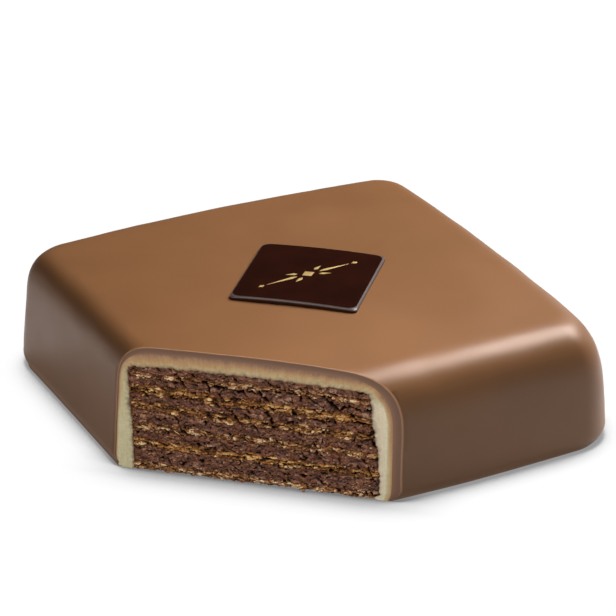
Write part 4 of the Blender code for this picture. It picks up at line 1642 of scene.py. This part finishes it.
CAMERA_DISTANCE = 0.7505
CAMERA_TARGET = Vector((0.00715, 0.01548, 0.01664))


def toward(azimuth, elevation):
    """Unit vector at an angle from +X towards +Y and at a height above the horizon."""
    return Vector((
        math.cos(azimuth) * math.cos(elevation),
        math.sin(azimuth) * math.cos(elevation),
        math.sin(elevation),
    ))


def aim(obj, place, target):
    """Puts a light or a camera at a place, facing a target."""
    obj.location = place
    obj.rotation_euler = (target - place).to_track_quat("-Z", "Y").to_euler()


def softbox(name, look):
    """A soft rectangular light that faces the torte, or its own target."""
    bpy.ops.object.light_add(type="AREA")
    light = bpy.context.object
    light.name = name
    light.data.shape = "RECTANGLE"
    light.data.size, light.data.size_y = look.width, look.height
    light.data.energy = look.power
    light.data.color = look.colour
    light.visible_glossy, light.visible_diffuse = look.glossy, look.diffuse
    direction = toward(math.radians(look.azimuth), math.radians(look.elevation))
    target = Vector(look.target)
    aim(light, target + direction * look.distance, target)
    return light


def lights_only(light, names):
    """Keeps a light to some of the pieces."""
    lit = bpy.data.collections.new("lit_by_" + light.name)
    for name in sorted(names):
        lit.objects.link(bpy.data.objects[name])
    light.light_linking.receiver_collection = lit


def camera():
    """The camera that fits the photographed outline."""
    bpy.ops.object.camera_add()
    made = bpy.context.object
    made.data.sensor_width = SENSOR
    made.data.lens = FOCAL_PIXELS / PICTURE_SIDE * SENSOR
    back = toward(CAMERA_AZIMUTH - math.pi / 2, CAMERA_ELEVATION)
    aim(made, CAMERA_TARGET + back * CAMERA_DISTANCE, CAMERA_TARGET)
    bpy.context.scene.camera = made


# The soft shadow painted into the table's glow where the torte meets it: how far it reaches, how
# dark it is at the most and how fast it thins out, beside the torte and where it widens in front
# of the cut.
SHADOW_REACH = 13.5 * MM
SHADOW_DEPTH = 0.92
SHADOW_BESIDE, SHADOW_IN_FRONT = 4.3, 1.8
FRONT_FROM, FRONT_TO = 42 * MM, 52 * MM
# How brightly the table lights what is matt and shows in what is glossy, and how pale it looks in
# gloss: painted darker from the torte's foot to this far off, in metres and tones.
GLOW_ON_MATT, GLOW_IN_GLOSS = 0.25, 0.18
PALE_FROM, PALE_TO = (0.11, 0.93), (0.2, 0.1)
TABLE_COLOUR = (*linear("#272727"), 1.0)


def white_table():
    """Matt white acrylic, glowing as a light table does: even and shadowless beyond the contact,
    where a soft shadow is painted into the glow. It gives the food less light than it gives the
    eye, and in gloss it is painted darker in the contact shadow and further off."""
    made, tree, shader, place = new_material("white_acrylic_table")
    ray = add_node(tree, "LightPath").node.outputs
    # Painted shadow: ambient occlusion darkens the table's glow near the torte.
    near = add_node(
        tree, "AmbientOcclusion", {"samples": 16, "Distance": SHADOW_REACH}, output="AO")
    contact = add_node(
        tree, "MapRange", {"From Min": 0.5, "To Min": SHADOW_DEPTH, "To Max": 0.0, "Value": near})
    before_cut = add_node(
        tree, "VectorMath", {"operation": "DOT_PRODUCT", 0: place, 1: OUTWARD_3D}, output="Value")
    steepness = add_node(
        tree, "MapRange", {
            "From Min": FRONT_FROM, "From Max": FRONT_TO, "To Min": SHADOW_BESIDE,
            "To Max": SHADOW_IN_FRONT, "Value": before_cut,
        })
    fading = add_node(tree, "Math", {"operation": "POWER", 0: contact, 1: steepness})
    open_floor = add_node(tree, "Math", {"operation": "SUBTRACT", 0: 1.0, 1: fading})
    glow = add_node(
        tree, "Mix",
        {"data_type": "FLOAT", 0: ray["Is Diffuse Ray"], 2: open_floor, 3: GLOW_ON_MATT})
    mirrored = add_node(
        tree, "Mix", {"data_type": "FLOAT", 0: ray["Is Glossy Ray"], 2: glow, 3: GLOW_IN_GLOSS})
    tree.links.new(mirrored, shader.inputs["Emission Strength"])
    shader.inputs["Emission Color"].default_value = (1.0, 1.0, 1.0, 1.0)
    # Painted shade in what gloss shows of the table: darker far off and in the contact shadow.
    away = add_node(tree, "VectorMath", {"operation": "LENGTH", 0: place}, output="Value")
    falling_off = add_node(
        tree, "MapRange", {
            "From Min": PALE_FROM[0], "From Max": PALE_TO[0], "To Min": PALE_FROM[1],
            "To Max": PALE_TO[1], "Value": away,
        })
    near_and_far = add_node(tree, "Math", {"operation": "MULTIPLY", 0: falling_off, 1: open_floor})
    lit = add_node(
        tree, "Mix",
        {"data_type": "RGBA", 0: ray["Is Glossy Ray"], 6: TABLE_COLOUR, 7: near_and_far})
    tree.links.new(lit, shader.inputs["Base Color"])
    shader.inputs["Roughness"].default_value = 0.9
    shader.inputs["Specular IOR Level"].default_value = 0.1
    return made


def stage():
    """Lays the table and sets the lights, some of them for some pieces alone, and the camera."""
    deselect()
    bpy.ops.mesh.primitive_plane_add(size=TABLE_SIDE, location=(0, 0, -0.02 * MM))
    floor = bpy.context.object
    floor.name = "table"
    floor.data.materials.append(white_table())
    floor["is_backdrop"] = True
    world = bpy.data.worlds.new("studio")
    bpy.context.scene.world = world
    world.use_nodes = True
    world.node_tree.nodes["Background"].inputs["Color"].default_value = (1.0, 1.0, 1.0, 1.0)
    world.node_tree.nodes["Background"].inputs["Strength"].default_value = ROOM_LIGHT
    lights = {name: softbox(name, look) for name, look in LIGHTS.items()}
    on_plaque = {"chocolate_plaque", "gilt_ornament"}
    pieces = {piece.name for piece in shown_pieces()}
    lights_only(lights["above_cut"], {"milk_chocolate_coat", "milk_chocolate_cut_edge"})
    lights_only(lights["plaque_card"], on_plaque)
    lights_only(lights["cut_card"], pieces - on_plaque - {"milk_chocolate_coat"})
    camera()
    bpy.context.scene.view_settings.view_transform = "Standard"


# Operators.


class TorteOperator:
    bl_options = {"REGISTER", "UNDO"}


class TORTE_OT_coat(TorteOperator, Operator):
    """Build the poured milk chocolate coat"""

    bl_idname = "torte.coat"
    bl_label = "Coat"

    def execute(self, context):
        scene = context.scene
        material = couverture(scene.torte_colours)
        coat_piece(scene.torte_sizes, material)
        cut_edge_piece(scene.torte_sizes, material)
        return {"FINISHED"}


class TORTE_OT_marzipan(TorteOperator, Operator):
    """Build the marzipan jacket with the chocolate smeared over its cut edge"""

    bl_idname = "torte.marzipan"
    bl_label = "Marzipan"

    def execute(self, context):
        marzipan_piece(rolled_marzipan(context.scene.torte_colours))
        return {"FINISHED"}


class TORTE_OT_layers(TorteOperator, Operator):
    """Build the wafer and cream layers with their torn cut faces"""

    bl_idname = "torte.layers"
    bl_label = "Layers"

    def execute(self, context):
        scene = context.scene
        tears = TEARS + small_tears()
        cream = torn_cream(scene.torte_colours)
        wafer = broken_wafer(scene.torte_colours)
        for number, name in enumerate(LAYER_NAMES):
            material = wafer if name in WAFERS else cream
            layer_piece(number, tears, scene.torte_sizes, material)
        return {"FINISHED"}


class TORTE_OT_bits(TorteOperator, Operator):
    """Scatter the loose wafer flakes and cream crumbs over the cut"""

    bl_idname = "torte.bits"
    bl_label = "Flakes and Crumbs"

    def execute(self, context):
        sizes = context.scene.torte_sizes
        tears = TEARS + small_tears()
        wafer_flakes(sizes, tears, bpy.data.materials["broken_baked_wafer"])
        cream_crumbs(sizes, tears, bpy.data.materials["torn_chocolate_cream"])
        return {"FINISHED"}


class TORTE_OT_plaque(TorteOperator, Operator):
    """Build the moulded dark chocolate plaque with its gilt ornament"""

    bl_idname = "torte.plaque"
    bl_label = "Plaque"

    def execute(self, context):
        scene = context.scene
        plaque_piece(scene.torte_sizes, moulded_dark_chocolate(scene.torte_colours))
        ornament_piece(scene.torte_sizes, gold_dust(scene.torte_colours))
        return {"FINISHED"}


class TORTE_OT_stage(TorteOperator, Operator):
    """Lay the white table and set the lights and the camera"""

    bl_idname = "torte.stage"
    bl_label = "Stage"

    def execute(self, context):
        stage()
        return {"FINISHED"}


class TORTE_PT_panel(Panel):
    """Lists the torte's sizes, colours and pieces"""

    bl_idname = "TORTE_PT_panel"
    bl_label = "Layered Torte"
    bl_space_type = "VIEW_3D"
    bl_region_type = "UI"
    bl_category = "Torte"

    def draw(self, context):
        scene = context.scene
        for settings in (scene.torte_sizes, scene.torte_colours):
            for name in settings.bl_rna.properties.keys():
                if name not in ("rna_type", "name"):
                    self.layout.prop(settings, name)
        for operator in OPERATORS:
            self.layout.operator(operator.bl_idname)


OPERATORS = (
    TORTE_OT_coat,
    TORTE_OT_marzipan,
    TORTE_OT_layers,
    TORTE_OT_bits,
    TORTE_OT_plaque,
    TORTE_OT_stage,
)
CLASSES = (TorteSizes, TorteColours, *OPERATORS, TORTE_PT_panel)


def register():
    for item in CLASSES:
        bpy.utils.register_class(item)
    bpy.types.Scene.torte_sizes = PointerProperty(type=TorteSizes)
    bpy.types.Scene.torte_colours = PointerProperty(type=TorteColours)


def unregister():
    del bpy.types.Scene.torte_colours
    del bpy.types.Scene.torte_sizes
    for item in reversed(CLASSES):
        bpy.utils.unregister_class(item)


def main():
    register()
    bpy.ops.torte.coat()
    bpy.ops.torte.marzipan()
    bpy.ops.torte.layers()
    bpy.ops.torte.bits()
    bpy.ops.torte.plaque()
    bpy.ops.torte.stage()


if __name__ == "__main__":
    main()
